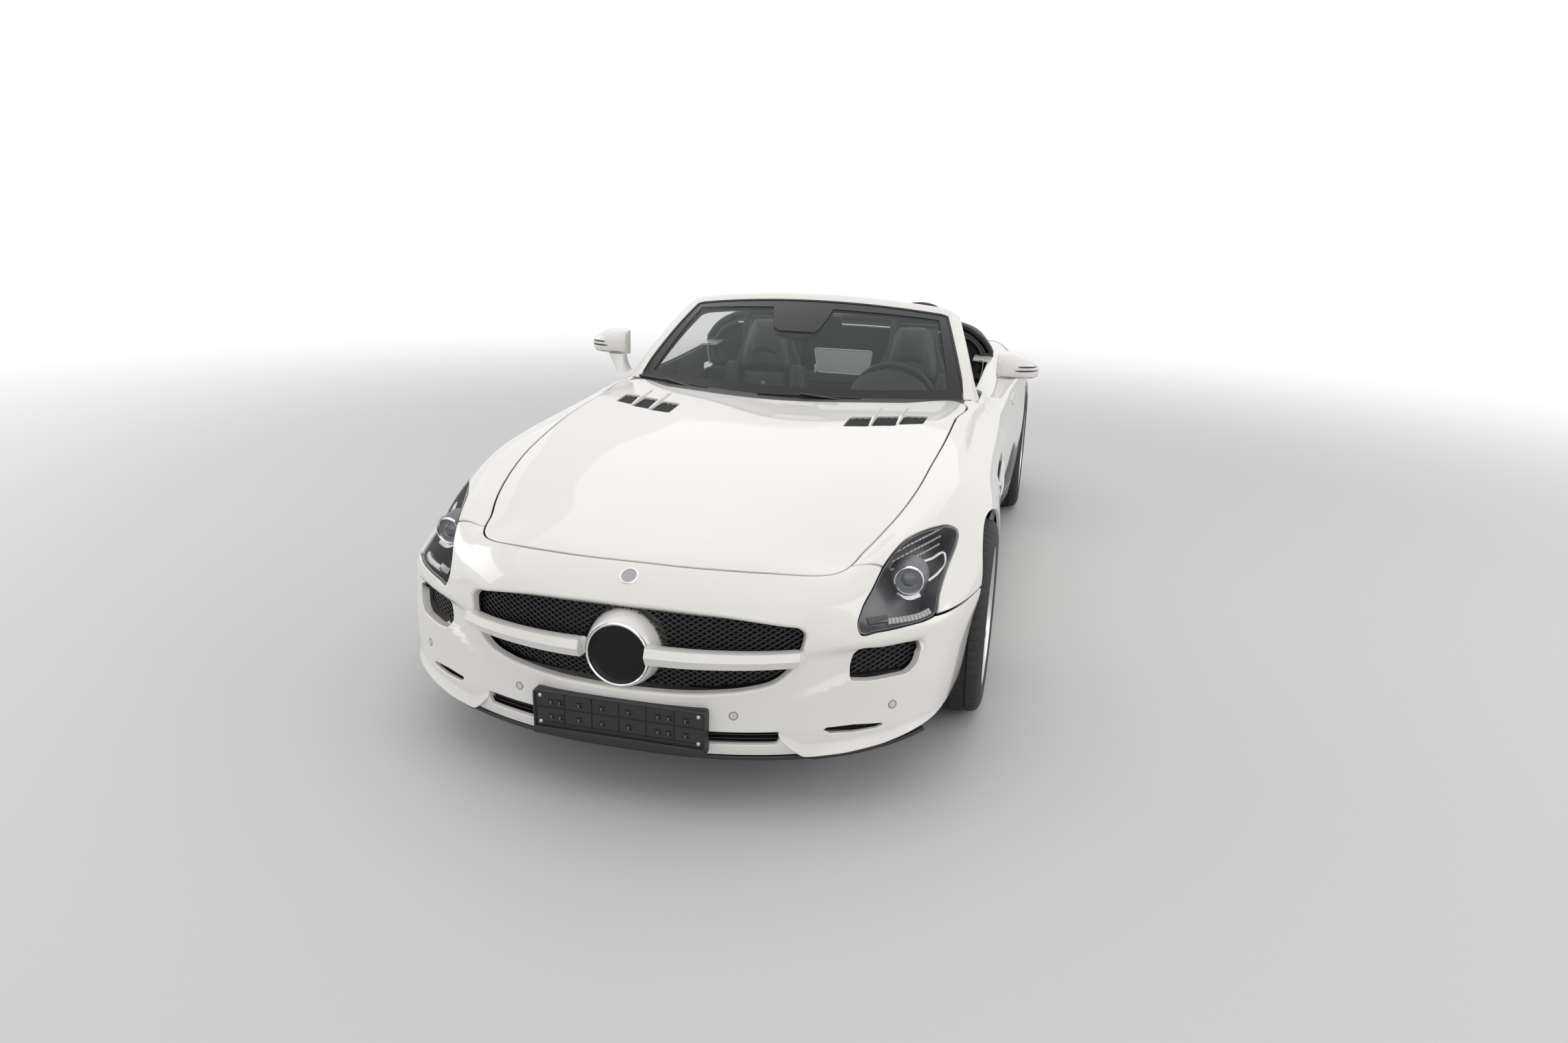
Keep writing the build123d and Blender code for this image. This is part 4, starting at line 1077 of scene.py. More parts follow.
def lattice(mesh, cut, x_range, z_range, surface, pitch=LATTICE, up=(0, -1, .2), margin=-.003, width=.0034):
    """A diamond mesh of flat bars across an opening."""
    x_pitch, z_pitch = pitch
    reach = z_range[1] - z_range[0]
    runs = reach / z_pitch * x_pitch
    for lean in (-1, 1):
        starts = np.arange(x_range[0] - (runs if lean > 0 else 0), x_range[1] + (0 if lean > 0 else runs),
                           x_pitch)
        for start in starts:
            z = np.arange(z_range[0], z_range[1], z_pitch / 2)
            x = start + lean * (z - z_range[0]) / z_pitch * x_pitch
            points = surface(x, z)
            kept = cut(points) < margin
            index = np.flatnonzero(kept)
            if len(index) < 2:
                continue
            for run in np.split(index, np.flatnonzero(np.diff(index) > 1) + 1):
                if len(run) > 1:
                    section = [(-width / 2, -.003), (width / 2, -.003), (width / 2, .003), (-width / 2, .003)]
                    mesh.solid(*sweep(points[run], section, up=up))


def backing(x_range, z_range, columns, rows, back=.085, thick=.006):
    """A dark plate behind an opening of the nose."""
    x, z = np.meshgrid(np.linspace(*x_range, columns), np.linspace(*z_range, rows), indexing="ij")
    front = grille_surface(x.ravel(), z.ravel(), back).reshape(columns, rows, 3)
    return loft(np.concatenate([front, front[:, ::-1] + (0, thick, 0)], axis=1))


def build_grille():
    mesh = Mesh()

    def opening(p):
        return np.maximum(GRILLE(p), EMBLEM_CLEAR - np.hypot(p[:, 0], p[:, 2] - EMBLEM[2]))

    lattice(mesh, opening, (-.52, .52), (.365, .615), lambda x, z: grille_surface(x, z, .048))
    mesh.build("grille_lattice", "chassis", "mesh_black", ["grille_mesh"])
    Mesh().solid(*backing((-.53, .53), (.36, .62), 40, 8)).build("grille_backing", "chassis", "inner_black")
    bar, strip = Mesh(), Mesh()
    for side in (-1, 1):
        x = np.linspace(.094, .486, 26)
        share = (x - x[0]) / (x[-1] - x[0])
        s = nose_s(x, np.full(26, BAR_Z)) + .020 + .020 * share ** 2
        path = np.column_stack([x, s, BAR_Z + .006 * (1 - share)])
        height = .0325 - .0040 * share - .008 * smoothstep(.96, 1.0, share)
        outline = np.array([(-.25, -.76), (.06, -.82), (.15, -.68), (.04, -.28), (-.20, .22), (-.58, .64),
                            (-1.10, .92), (-2.1, .94), (-2.4, .2), (-1.9, -.66)])
        section = outline[None] * height[:, None, None] * (-1, 1)
        bar.solid(*mirror_points(sweep(path, section), side))
        edge = path + np.column_stack([0 * x, .04 * height, -.80 * height])
        strip.solid(*mirror_points(sweep(edge, CHROME_SECTION), side))
    bar.build("grille_crossbar", "chassis", "pearl", ["grille_bar"])
    strip.build("grille_bar_chrome", "chassis", "chrome")
    dome = [(-.125, .106), (-.120, .112), (-.075, .110), (-.040, .104), (-.018, .097), (-.008, .0925),
            (-.006, .090), (-.012, .088), (-.030, .086), (-.122, .088)]
    ring = [(-.012, .0905), (-.004, .0905), (-.0005, .0885), (.000, .0860), (-.002, .0835), (-.012, .0825)]
    disc = [(-.020, .0845), (-.012, .0845), (-.0105, .080), (-.010, .050), (-.0095, .001)]
    for name, profile, finish in (("dome", dome, "pearl"), ("ring", ring, "chrome"),
                                  ("plain_disc", disc, "emblem_black")):
        closed = profile is not disc
        turned = lathe(np.array(profile) * EMBLEM_SCALE, EMBLEM, (0, -1, 0), 96 if closed else 72,
                       ring=closed)
        Mesh().solid(*turned).build(f"emblem_{name}", "chassis", finish)


def mirror_points(solid, side):
    points, faces = solid
    return points * (side, 1, 1), faces


def build_intake():
    mesh = Mesh()
    lattice(mesh, INTAKE, (.61, .82), (.395, .495), lambda x, z: grille_surface(x, z, .055))
    back = Mesh().solid(*backing((.60, .83), (.39, .50), 16, 6))
    build_pairs((mesh, "intake_lattice", "chassis", "mesh_black"),
                (back, "intake_backing", "chassis", "inner_black"))


# ---------- windscreen ----------
FRIT = .0012                 # the printed border's depth under the glass's face, and its thickness
PANE_EDGE, PANE_TOP = .955, .955
FRIT_SIDE, FRIT_FOOT, FRIT_HEAD = .885, .088, .865
SHADE_HEIGHTS, SHADE_LEFT, SHADE_RIGHT = (
    (.595, .640, .740, .895), (-.160, -.215, -.245, -.300), (.080, .105, .130, .158))
SCREEN_FOOT = dict(half=.770, corner=2.095, corner_z=.885, middle=1.775, middle_z=.893)
SCREEN_HEAD = dict(half=.622, corner=2.560, corner_z=1.195, middle=2.435, middle_z=1.247)


def screen_point(u, v):
    """A point on the windscreen: u runs -1 to 1 across, v 0 to 1 up."""
    u, v = np.asarray(u, float), np.asarray(v, float)
    m = {key: SCREEN_FOOT[key] + v * (SCREEN_HEAD[key] - SCREEN_FOOT[key]) for key in SCREEN_FOOT}
    bulge = .022 * 4 * v * (1 - v)
    rise = m["middle_z"] + (m["corner_z"] - m["middle_z"]) * u**2 + bulge * .8
    return np.stack([m["half"] * u, m["middle"] + (m["corner"] - m["middle"]) * u**2 - bulge * .5, rise], -1)


def screen_normal(u, v, step=1e-3):
    across = screen_point(u + step, v) - screen_point(u - step, v)
    up = screen_point(u, v + step) - screen_point(u, v - step)
    n = np.cross(across, up)
    return n / np.linalg.norm(n, axis=-1, keepdims=True)


def screen_plate(u_range, v_range, drop, thick, columns, rows):
    """A curved plate parallel to the windscreen."""
    u, v = np.meshgrid(np.linspace(*u_range, columns), np.linspace(*v_range, rows), indexing="ij")
    points, n = screen_point(u, v), screen_normal(u, v)
    outer, inner = points - n * drop, points - n * (drop + thick)
    return loft(np.concatenate([outer, inner[:, ::-1]], axis=1))


def screen_rim(corner_u=.11, corner_v=.08):
    """The line of pillars and header: points, normals, the way out from the glass, and the height share."""
    shoulder = 1 - corner_v
    rise = np.linspace(-.06, shoulder, 34)
    turn = np.linspace(0, math.pi / 2, 12)[1:]
    head = np.linspace(1 - corner_u, 0, 20)[1:]
    u = np.concatenate([np.ones(len(rise)), 1.0 - corner_u * (1 - np.cos(turn)), head])
    v = np.concatenate([rise, shoulder + corner_v * np.sin(turn), np.ones(len(head))])
    u, v = np.concatenate([u, -u[-2::-1]]), np.concatenate([v, v[-2::-1]])
    path, n = screen_point(u, v), screen_normal(u, v)
    along = np.gradient(path, axis=0)
    along /= np.linalg.norm(along, axis=1, keepdims=True)
    out = np.cross(n, along)
    out *= np.sign(np.sum(out * (path - screen_point(0 * u, 0 * v + .5)), axis=1))[:, None]
    return path, n, out, v


def build_windscreen():
    across = (-PANE_EDGE, PANE_EDGE)
    glass = Mesh().solid(*screen_plate(across, (.0, PANE_TOP), .004, .005, 41, 21))
    glass.build("windscreen_pane", "chassis", "screen", ["windscreen_glass"])
    frit = Mesh()
    for band in ((.0, FRIT_FOOT), (FRIT_HEAD, PANE_TOP)):
        frit.solid(*screen_plate(across, band, FRIT, FRIT, 41, 4))
    for side in (-1, 1):
        edge = screen_plate((FRIT_SIDE, PANE_EDGE), (FRIT_FOOT, FRIT_HEAD), FRIT, FRIT, 4, 31)
        frit.solid(*mirror_points(edge, side))
    shade = []
    for v in np.linspace(SHADE_HEIGHTS[0], FRIT_HEAD, 13):
        u = np.linspace(*(np.interp(v, SHADE_HEIGHTS, edge) for edge in (SHADE_LEFT, SHADE_RIGHT)), 15)
        front, n = screen_point(u, 0 * u + v), screen_normal(u, 0 * u + v)
        shade.append(np.concatenate([front - n * FRIT, (front - n * (2 * FRIT))[::-1]]))
    frit.solid(*loft(np.array(shade)))
    frit.build("windscreen_border", "chassis", "frit")
    path, n, out, v = screen_rim()
    section = np.array([(-.034, -.002), (-.032, .003), (-.010, .011), (.012, .010), (.027, -.002),
                        (.033, -.020), (.026, -.044), (.004, -.058), (-.018, -.052), (-.032, -.030)])
    spread = 1 + .35 * (1 - smoothstep(-.06, .22, v))
    rings = np.stack([path + out * (a * spread)[:, None] + n * b for a, b in section], axis=1)
    Mesh().solid(*loft(rings)).build("windscreen_surround", "chassis", "pearl", ["windscreen_frame"])
    rubber = [(-.042, -.003), (-.042, .0012), (-.033, .0030), (-.030, -.004)]
    lining = [(-.032, -.014), (-.025, -.012), (.004, -.060), (.026, -.046), (.024, -.054), (.004, -.068),
              (-.022, -.064)]
    seal = Mesh()
    for section in (rubber, lining):
        seal.solid(*loft(np.stack([path + out * a + n * b for a, b in section], axis=1)))
    seal.build("windscreen_seal", "chassis", "soft_black")


def build_cowl():
    """The black scuttle panel between the bonnet and the glass."""
    rear = Outline([(0, 1.80, 0), (.40, 1.88, 0), (.70, 2.07, 0), (.752, 2.12, 0), (.752, 1.99, 0),
                    (.742, 1.975, 0), (.50, 1.60, 0), (0, 1.50, 0)], (0, 0, 1), mirrored=True)
    surface = patch(from_above, steps(-.765, .765, .02), steps(1.66, 2.14, .014),
                    [within(rear, .001), outside(BONNET, .001)])
    sunk, normals, faces, edges = surface
    shell((sunk - (0, 0, .006), normals, faces, edges), .010, .002).build(
        "cowl_panel", "chassis", "trim_black", ["cowl"])


# ---------- headlamps ----------
PROJECTOR = np.array((.746, .405, .640))
LAMP_FACING = np.array((.50, -.60, .62)) / np.linalg.norm((.50, -.60, .62))


def lamp_surface(margin, u_step=.012):
    return patch(around_flank, steps(.17, .76, u_step), np.radians(np.arange(-32, 120, 2.2)),
                 [within(LAMP, margin)])


def edge_loop(edges):
    """Open edges, in order."""
    following = dict(edges)
    start = edges[0][0]
    loop = [start]
    while following[loop[-1]] != start:
        loop.append(following[loop[-1]])
    return loop


def build_headlamps():
    cover = shell(lamp_surface(.003), .004, .0015)
    points, normals, faces, edges = lamp_surface(.006)
    loop = edge_loop(edges)
    bowl = Mesh()
    rim = points[loop] - normals[loop] * .006
    middle = points.mean(0)
    floor_points = points - LAMP_FACING * .095
    floor_ring = floor_points[loop] + (middle - points[loop]) * .10
    wall = [rim, rim * .6 + floor_ring * .4, floor_ring, floor_ring - LAMP_FACING * .006,
            rim * .6 + floor_ring * .4 + (rim - middle) * .03, rim + (rim - middle) * .02]
    bowl.solid(*loop_loft(wall))
    pan_points = np.concatenate([floor_points, floor_points - LAMP_FACING * .004])
    shift = len(points)
    pan_faces = faces + [[i + shift for i in face[::-1]] for face in faces]
    pan_faces += [[a, a + shift, b + shift, b] for a, b in edges]
    bowl.solid(pan_points, pan_faces)
    facing = np.array((.10, -1.0, .02))
    bowl.solid(*lathe([(-.075, .050), (-.075, .058), (-.010, .050), (-.004, .046)], PROJECTOR, facing, 48))
    chrome = Mesh()
    ring = [(-.022, .0445), (-.002, .0450), (.004, .0430), (.0045, .0400), (.000, .0365), (-.012, .0335),
            (-.024, .0330)]
    chrome.solid(*lathe(ring, PROJECTOR, facing, 64, ring=True))
    bracket = curve_through([PROJECTOR + d for d in (
        (.010, .056, .035), (.046, .120, .033), (.081, .189, .029), (.086, .176, .014), (.072, .116, -.006),
        (.049, .059, -.015))], 40)
    chrome.solid(*sweep(bracket, rounded(.009, .007, .003), up=LAMP_FACING), finish=1)
    foot = curve_through([PROJECTOR + d
                          for d in ((-.030, .004, -.040), (0, -.004, -.052), (.034, .006, -.040))], 16)
    chrome.solid(*sweep(foot, rounded(.018, .010, .003), up=LAMP_FACING), finish=1)
    lens = Mesh()
    lens.solid(*lathe([(-.024, .0335), (-.014, .0325), (-.006, .027), (.000, .018), (.003, .008),
                       (.0035, .001)],
                      PROJECTOR, facing, 48))
    strips = Mesh()
    for lift, back in ((.086, .100), (.066, .082), (.046, .064)):
        base = PROJECTOR + (-.020, back, lift)
        path = curve_through([base + d
                              for d in ((-.040, -.050, -.026), (.010, .010, -.006), (.054, .095, .002),
                                                 (.080, .161, .004))], 15)
        for a, b in zip(path[:-1], path[1:]):
            cell = np.linspace(a + (b - a) * .12, b - (b - a) * .12, 3)
            strips.solid(*sweep(cell, rounded(.0055, .005, .0018), up=LAMP_FACING))
    block_path = curve_through([(.704, .290, .551), (.745, .322, .550), (.786, .358, .552),
                                (.812, .392, .558)], 13)
    for a, b in zip(block_path[:-1], block_path[1:]):
        strips.solid(*sweep(np.linspace(a, b - (b - a) * .15, 3), rounded(.020, .016, .004), up=LAMP_FACING))
    patch_path = curve_through([(.655, .252, .560), (.680, .268, .562), (.704, .288, .562)], 6)
    dark = Mesh()
    dark.solid(*sweep(patch_path, rounded(.022, .012, .003), up=LAMP_FACING))
    build_pairs((cover, "headlamp_cover", "chassis", "lens", "headlamps"),
                (bowl, "headlamp_bowl", "chassis", "lamp_grey"),
                (chrome, "headlamp_ring", "chassis", ["chrome", "satin"]),
                (lens, "headlamp_projector", "chassis", "lamp_glass"),
                (strips, "headlamp_led_strips", "chassis", "led"),
                (dark, "headlamp_block", "chassis", "gloss_black"))


# ---------- points on the body ----------
def ahead(x, z):
    """The front of the body over x and height."""
    x, z = np.broadcast_arrays(np.atleast_1d(np.asarray(x, float)), np.asarray(z, float))
    return shoot(np.column_stack([x, np.full(len(x), 1.0), z]), np.tile((0, -1.0, 0), (len(x), 1)), 1.2)


def behind(x, z):
    x, z = np.broadcast_arrays(np.atleast_1d(np.asarray(x, float)), np.asarray(z, float))
    return shoot(np.column_stack([x, np.full(len(x), 3.9), z]), np.tile((0, 1.0, 0), (len(x), 1)), 1.0)


def beside(s, z):
    s, z = np.broadcast_arrays(np.atleast_1d(np.asarray(s, float)), np.asarray(z, float))
    return shoot(np.column_stack([np.full(len(s), .4), s, z]), np.tile((1.0, 0, 0), (len(s), 1)), .8)


def above(x, s):
    x, s = np.broadcast_arrays(np.atleast_1d(np.asarray(x, float)), np.asarray(s, float))
    return from_above(np.column_stack([x, s]))


def both_sides(mesh, solid, finish=0):
    mesh.solid(*solid, finish)
    mesh.solid(*mirror_points(solid, -1), finish)


def disc_on(mesh, point, facing, radius, height, finish=0, dip=.0):
    """A low round button with a softened edge; dip sinks its middle."""
    edge = min(height, radius * .2)
    mesh.solid(*lathe([(-.004, radius), (height - edge, radius), (height - edge * .3, radius - edge * .3),
                       (height, radius - edge), (height - dip, radius * .5), (height - dip, radius * .02)],
                      point, facing, 40), finish=finish)


# ---------- bonnet and nose details ----------
VENT_MESH = (.0160, .0160)


def build_bonnet_vents():
    mesh, pan, fins = Mesh(), Mesh(), Mesh()
    for vent in VENTS:
        low, high = vent.ring.min(0), vent.ring.max(0)
        grid = Mesh()
        lattice(grid, vent, (low[0], high[0]), (low[1], high[1]),
                lambda x, s: above(x, s) - (0, 0, .011), pitch=VENT_MESH, up=(0, 0, 1), margin=.002,
                width=.0030)
        points = np.concatenate(grid.points)
        for side in (1, -1):
            faces = grid.faces if side > 0 else [face[::-1] for face in grid.faces]
            mesh.add(points * (side, 1, 1), faces)
        middle = vent.ring.mean(0)
        wide = middle + (vent.ring - middle) * 1.16
        ring = above(wide[:, 0], wide[:, 1]) - (0, 0, .020)
        both_sides(pan, prism(ring, (0, 0, -.005), .001))
    for line in FINS:
        path = curve_through([(x, s, 0) for x, s in line], 26)
        share = np.linspace(0, 1, 26)
        path = above(path[:, 0], path[:, 1]) + (0, 0, -.001)
        width = .0045 + .0065 * np.sin(math.pi * np.clip(share * 1.15, 0, 1)) ** .7
        width[share > .80] *= (1 - (share[share > .80] - .80) * 4.2)
        height = .011 * np.sin(math.pi * np.clip(.12 + share * .86, 0, 1))
        outline = np.array([(-.5, -.3), (-.42, .5), (-.2, 1.0), (.2, 1.0), (.42, .5), (.5, -.3)])
        section = np.stack([outline * (w * 1.6, h) for w, h in zip(width, height)])
        both_sides(fins, sweep(path, section))
    mesh.build("bonnet_vent_mesh", "bonnet", "mesh_black")
    pan.build("bonnet_vent_trays", "bonnet", "inner_black")
    fins.build("bonnet_vent_fins", "bonnet", "pearl")


def canard_edge(x):
    """Height of the lower edge of the bumper's outer lip."""
    return np.interp(x, [.445, .452, .480, .506, .530, .62, .72, .81, .86, .90],
                     [.255, .240, .208, .187, .186, .191, .206, .232, .246, .250])


def canard_top(x):
    return np.interp(x, [.445, .50, .555, .60, .72, .78, .90], [.2665, .264, .2475, .246, .246, .262, .275])


def build_canards():
    mesh = Mesh()
    x = np.concatenate([np.linspace(.446, .53, 13), np.linspace(.545, .865, 20)])
    low, high = canard_edge(x), canard_top(x)
    out = np.interp(x, [.446, .47, .506, .60, .70, .80, .865], [.001, .010, .020, .022, .018, .010, .001])
    foot, head = ahead(x, low), ahead(x, high)
    n = normal(foot) * (1, 1, 0)
    n /= np.linalg.norm(n, axis=1, keepdims=True)
    edge = foot + n * out[:, None]
    middle = edge * .5 + head * .5 - n * (out * .32)[:, None]
    upper = edge * .2 + head * .8 - n * (out * .20)[:, None]
    rings = [head - n * .012, head + n * .0006, upper, middle, edge + (0, 0, .007),
             edge + n * .001 + (0, 0, .003), edge - n * .002, edge - n * .030 - (0, 0, .002),
             foot - n * .030 + (0, 0, .010)]
    both_sides(mesh, loft(np.stack(rings, axis=1)))
    mesh.build("bumper_lower_lip", "chassis", "pearl")


def build_nose_details():
    dark = Mesh()
    x = np.linspace(-.50, .50, 41)
    lip = ahead(np.abs(x), .196) * (1, 1, 0) + (0, 0, .176)
    lip[:, 0] = x
    dark.solid(*sweep(lip + (0, .050, 0), rounded(.086, .014, .005)))
    x = np.linspace(.50, .80, 14)
    tail = ahead(x, .22) * (1, 1, 0) + np.column_stack([0 * x, 0 * x, canard_edge(x) - .014])
    both_sides(dark, sweep(tail + (0, .052, 0), rounded(.080, .012, .004)))
    dark.build("front_splitter", "chassis", "trim_black")
    back = Mesh()
    x = np.linspace(-.49, .49, 31)
    low, high = ahead(np.abs(x), .214), ahead(np.abs(x), .286)
    low[:, 0], high[:, 0] = x, x
    rings = [low + (0, .045, 0), high + (0, .045, 0), high + (0, .051, 0), low + (0, .051, 0)]
    back.solid(*loft(np.stack(rings, axis=1)))
    middle = OUTER_SLOT.ring.mean(0)
    corners = (OUTER_SLOT.ring - middle) * (1.15, 1.8) + middle
    ring = corners @ OUTER_SLOT.axes.T
    depth = np.array((.45, -1, 0)) / np.linalg.norm((.45, -1, 0))
    shift = (ahead(.64, .258)[0] - ring.mean(0)) @ depth
    both_sides(back, prism(ring + depth * (shift - .034), -depth * .004, .001))
    back.build("bumper_slot_backing", "chassis", "inner_black")
    vane = Mesh()
    for z in (.238, .251):
        line = ahead(np.abs(x), z)
        line[:, 0] = x
        vane.solid(*sweep(line + (0, .024, 0), rounded(.012, .0028, .001)))
    vane.build("bumper_slot_vanes", "chassis", "trim_black")
    sensors = Mesh()
    for px in (.325, .739):
        place = ahead(px, .318)
        facing = normal(place)[0]
        for side in (1, -1):
            spot, way = place[0] * (side, 1, 1), facing * (side, 1, 1)
            sensors.solid(*lathe([(-.003, .0128), (.0005, .0128), (.0005, .0112), (-.003, .0112)], spot, way,
                                 40, ring=True), finish=1)
            # each sensor's face takes the darker pearl copy: painted shade
            disc_on(sensors, spot, way, .0105, .0012, dip=.0004)
    sensors.build("parking_sensors", "chassis", ["pearl_painted_shade", "trim_black"])
    badge = Mesh()
    spot = above(0.0, .098)
    facing = normal(spot)[0]
    badge.solid(*lathe([(-.004, .0262), (.0016, .0262), (.0030, .0246), (.0026, .0226), (.0010, .0218),
                        (-.004, .0218)], spot[0], facing, 56, ring=True))
    disc_on(badge, spot[0], facing, .0220, .0012, finish=1)
    badge.build("nose_plain_badge", "chassis", ["chrome", "satin_dark"])


def build_plate_holder():
    """The bare number plate holder on the front bumper: a frame with ribs, clips and four screws."""
    mesh = Mesh()
    z, front = .2715, -.013

    def at(outline, s):
        return np.column_stack([outline[:, 0], np.full(len(outline), s + front), z + outline[:, 1]])

    def rib(x, lift, width, height, proud, finish=0):
        mesh.solid(*block((x - width / 2, .0150 - proud + front, z + lift - height / 2),
                          (x + width / 2, .0150 + front, z + lift + height / 2), .0007), finish=finish)
    mesh.solid(*loft([at(rounded(.500, .120, .008), .0440), at(rounded(.520, .137, .009), .0390),
                      at(rounded(.520, .137, .009), .0155), at(rounded(.518, .135, .009), .0140)]))
    frame_rings = [at(rounded(w, h, r), s)
                   for w, h, r, s in ((.520, .137, .009, .0160), (.519, .136, .009, .0095),
                   (.515, .132, .008, .0078), (.509, .126, .006, .0080), (.506, .123, .005, .0100),
                   (.506, .123, .005, .0160))]
    mesh.solid(*loop_loft(frame_rings))
    for x in (-.165, -.082, 0, .082, .165):
        rib(x, .011, .0024, .094, .0045)
    for lift in (-.033, .013):
        rib(0, lift, .500, .0024, .0038)
    for x in (-.205, -.178, -.12, -.05, .03, .118, .15, .20):
        for lift in (-.013, .033):
            rib(x, lift - .0053, .018, .0035, .0058)
            rib(x, lift + .0050, .018, .0030, .0052)
            rib(x, lift, .0044, .0070, .0064, finish=1)
    tongue = [(.0140, z - .0445), (.0062, z - .0450), (.0052, z - .0480), (.0052, z - .0640),
              (.0068, z - .0680), (.0140, z - .0683)]
    mesh.solid(*loft([[(x, s + front, h) for s, h in tongue] for x in np.linspace(-.257, .257, 21)]))
    mesh.build("number_plate_frame", "chassis", ["trim_black", "lamp_grey"], ["number_plate_holder"])
    screws = Mesh()
    for x in (-.238, .238):
        for lift in (-.031, .051):
            screws.solid(*lathe([(-.004, .0058), (.0018, .0058), (.0030, .0046), (.0032, .0020),
                                 (.0014, .0018), (.0014, .0002)], (x, .0125 + front, z + lift), (0, -1, 0),
                                 24))
    screws.build("number_plate_screws", "chassis", "satin")


# ---------- side details ----------
def build_gills():
    """The opening behind the front wheel, with its mesh and two bright fins."""
    mesh, back, fin = Mesh(), Mesh(), Mesh()
    low, high = GILL.ring.min(0), GILL.ring.max(0)
    lattice(mesh, GILL, (low[0], high[0]), (low[1], high[1]), lambda s, z: beside(s, z) - (.020, 0, 0),
            pitch=(.022, .014), up=(1, 0, 0), margin=.002, width=.003)
    middle = GILL.ring.mean(0)
    wide = middle + (GILL.ring - middle) * 1.12
    ring = beside(wide[:, 0], wide[:, 1]) - (.040, 0, 0)
    back.solid(*prism(ring, (-.005, 0, 0), .001))
    for lift, reach in ((.676, (1.462, 1.835)), (.634, (1.480, 1.815))):
        s = np.linspace(*reach, 22)
        share = np.linspace(0, 1, 22)
        path = beside(s, lift + .010 * share) - (.004, 0, 0)
        thick = .0105 * np.sin(math.pi * np.clip(.10 + .82 * share, 0, 1)) ** .5
        outline = np.array([(-1.1, -.25), (-.3, -.5), (.2, -.35), (.45, 0), (.2, .35), (-.3, .5),
                            (-1.1, .25)])
        section = outline[None] * thick[:, None, None] * (-1.4, 1.0)
        fin.solid(*sweep(path, section))
    build_pairs((mesh, "gill_mesh", "chassis", "mesh_black"),
                (back, "gill_backing", "chassis", "inner_black"),
                (fin, "gill_fins", "chassis", "satin"))


def build_handles():
    """Flush door handles, each in its own shallow pocket, ringed by a thin dark band of painted shade for its
    gap.
    """
    handle = Outline([(1, 2.800, .742), (1, 2.985, .750), (1, 2.990, .772), (1, 2.805, .768)], (1, 0, 0),
                     corner=.009)
    points, normals, faces, edges = patch(around_flank, steps(2.78, 3.01, .008),
                                          np.radians(np.arange(-5, 75, 1.2)), [within(handle, .001)])
    grip = shell((points + normals * .0035, normals, faces, edges), .007, .0025)
    ring = beside(handle.ring[:, 0], handle.ring[:, 1])
    out = normal(ring)
    middle = ring.mean(0)
    wide = middle + (ring - middle) * 1.05
    # A thin black band round each handle: painted shade for the gap between handle and door.
    seam_shade = Mesh().solid(*loop_loft([ring + out * .0006, wide + out * .0008, wide - out * .004,
                                      ring - out * .004]))
    build_pairs((grip, "door_handle", "door_{}", "pearl"),
                (seam_shade, "door_handle_seam", "door_{}", "trim_black"))


MIRROR_INNER, MIRROR_OUTER = .857, 1.035
MIRROR_REAR = 2.262


def mirror_section(x):
    """One section of a mirror housing, at a distance from the car's middle."""
    t = np.clip((x - MIRROR_INNER) / (MIRROR_OUTER - MIRROR_INNER), 0, 1)
    top = .9560 + np.interp(t, [0, .10, .35, .70, .90, 1.0], [.112, .1195, .121, .105, .082, .058])
    low = .9580 + np.interp(t, [0, .5, .85, 1.0], [.000, .001, .006, .022])
    deep = np.interp(t, [0, .05, .3, .6, .85, .95, 1.0], [.070, .084, .096, .090, .068, .045, .020])
    middle, half = (top + low) / 2, (top - low) / 2
    angle = np.radians(np.linspace(-90, 90, 25))
    power = 2 / 2.9
    front = [(MIRROR_REAR - deep * abs(math.cos(a)) ** power,
              middle + half * math.copysign(abs(math.sin(a)) ** power, a)) for a in angle]
    return np.array([(x, s, z) for s, z in front])


def mirror_line(z, places):
    """A line over a mirror's front at one height."""
    return [(x, np.interp(z, *mirror_section(x)[:, [2, 1]].T), z) for x in places]


def build_mirrors():
    case, dark, glass, foot = Mesh(), Mesh(), Mesh(), Mesh()
    stations = [.8565, .8580, .8620, .872, .895, .925, .950, .975, .997, 1.012, 1.022, 1.029, 1.033, 1.0345]
    rings = []
    for k, x in enumerate(stations):
        ring = mirror_section(x)
        if k in (0, len(stations) - 1):
            middle = ring.mean(0)
            ring = middle + (ring - middle) * (.93, .86, .90)
            ring[:, 0] = x
        rings.append(ring)
    case.solid(*loft(rings))
    pane_ring = np.array([rings[k][0] for k in range(1, 13)] + [rings[k][-1] for k in range(12, 0, -1)])
    middle = pane_ring.mean(0)
    pane_ring = middle + (pane_ring - middle) * (.93, 1, .90)
    glass.solid(*prism(pane_ring + (0, .003, 0), (0, -.004, 0), .001))
    rim = middle + (pane_ring - middle) * 1.07
    dark.solid(*prism(rim + (0, .0012, 0), (0, -.004, 0), .001))
    taper = .25 + .75 * np.sin(math.pi * np.linspace(0, 1, 12)) ** .5
    for z, inner, outer in ((1.020, .948, 1.026), (1.003, .935, 1.030)):
        front = mirror_line(z, np.linspace(inner, outer, 12))
        dark.solid(*sweep(front, rounded(.006, .0068, .002) * taper[:, None, None]))
    dark.solid(*sweep(mirror_line(.9735, np.linspace(.874, 1.028, 20)), rounded(.0022, .0016, .0006)))
    rows = []
    for t in np.linspace(0, 1, 9):
        z = .884 + (.966 - .884) * t
        x = .866 + .034 * t ** .8
        wide = .024 + .016 * t ** 2
        deep = .040 + .012 * (1 - t) ** 2
        outline = rounded(2 * wide, 2 * deep, min(wide, deep) * .8)
        rows.append(np.column_stack([x + outline[:, 0], 2.205 + outline[:, 1], np.full(len(outline), z)]))
    foot.solid(*loft(rows))
    build_pairs((case, "mirror_case", "door_{}", "pearl", "mirror_{}"),
                (dark, "mirror_trim", "door_{}", "trim_black"),
                (glass, "mirror_pane", "door_{}", "mirror_glass"), (foot, "mirror_foot", "door_{}", "pearl"))


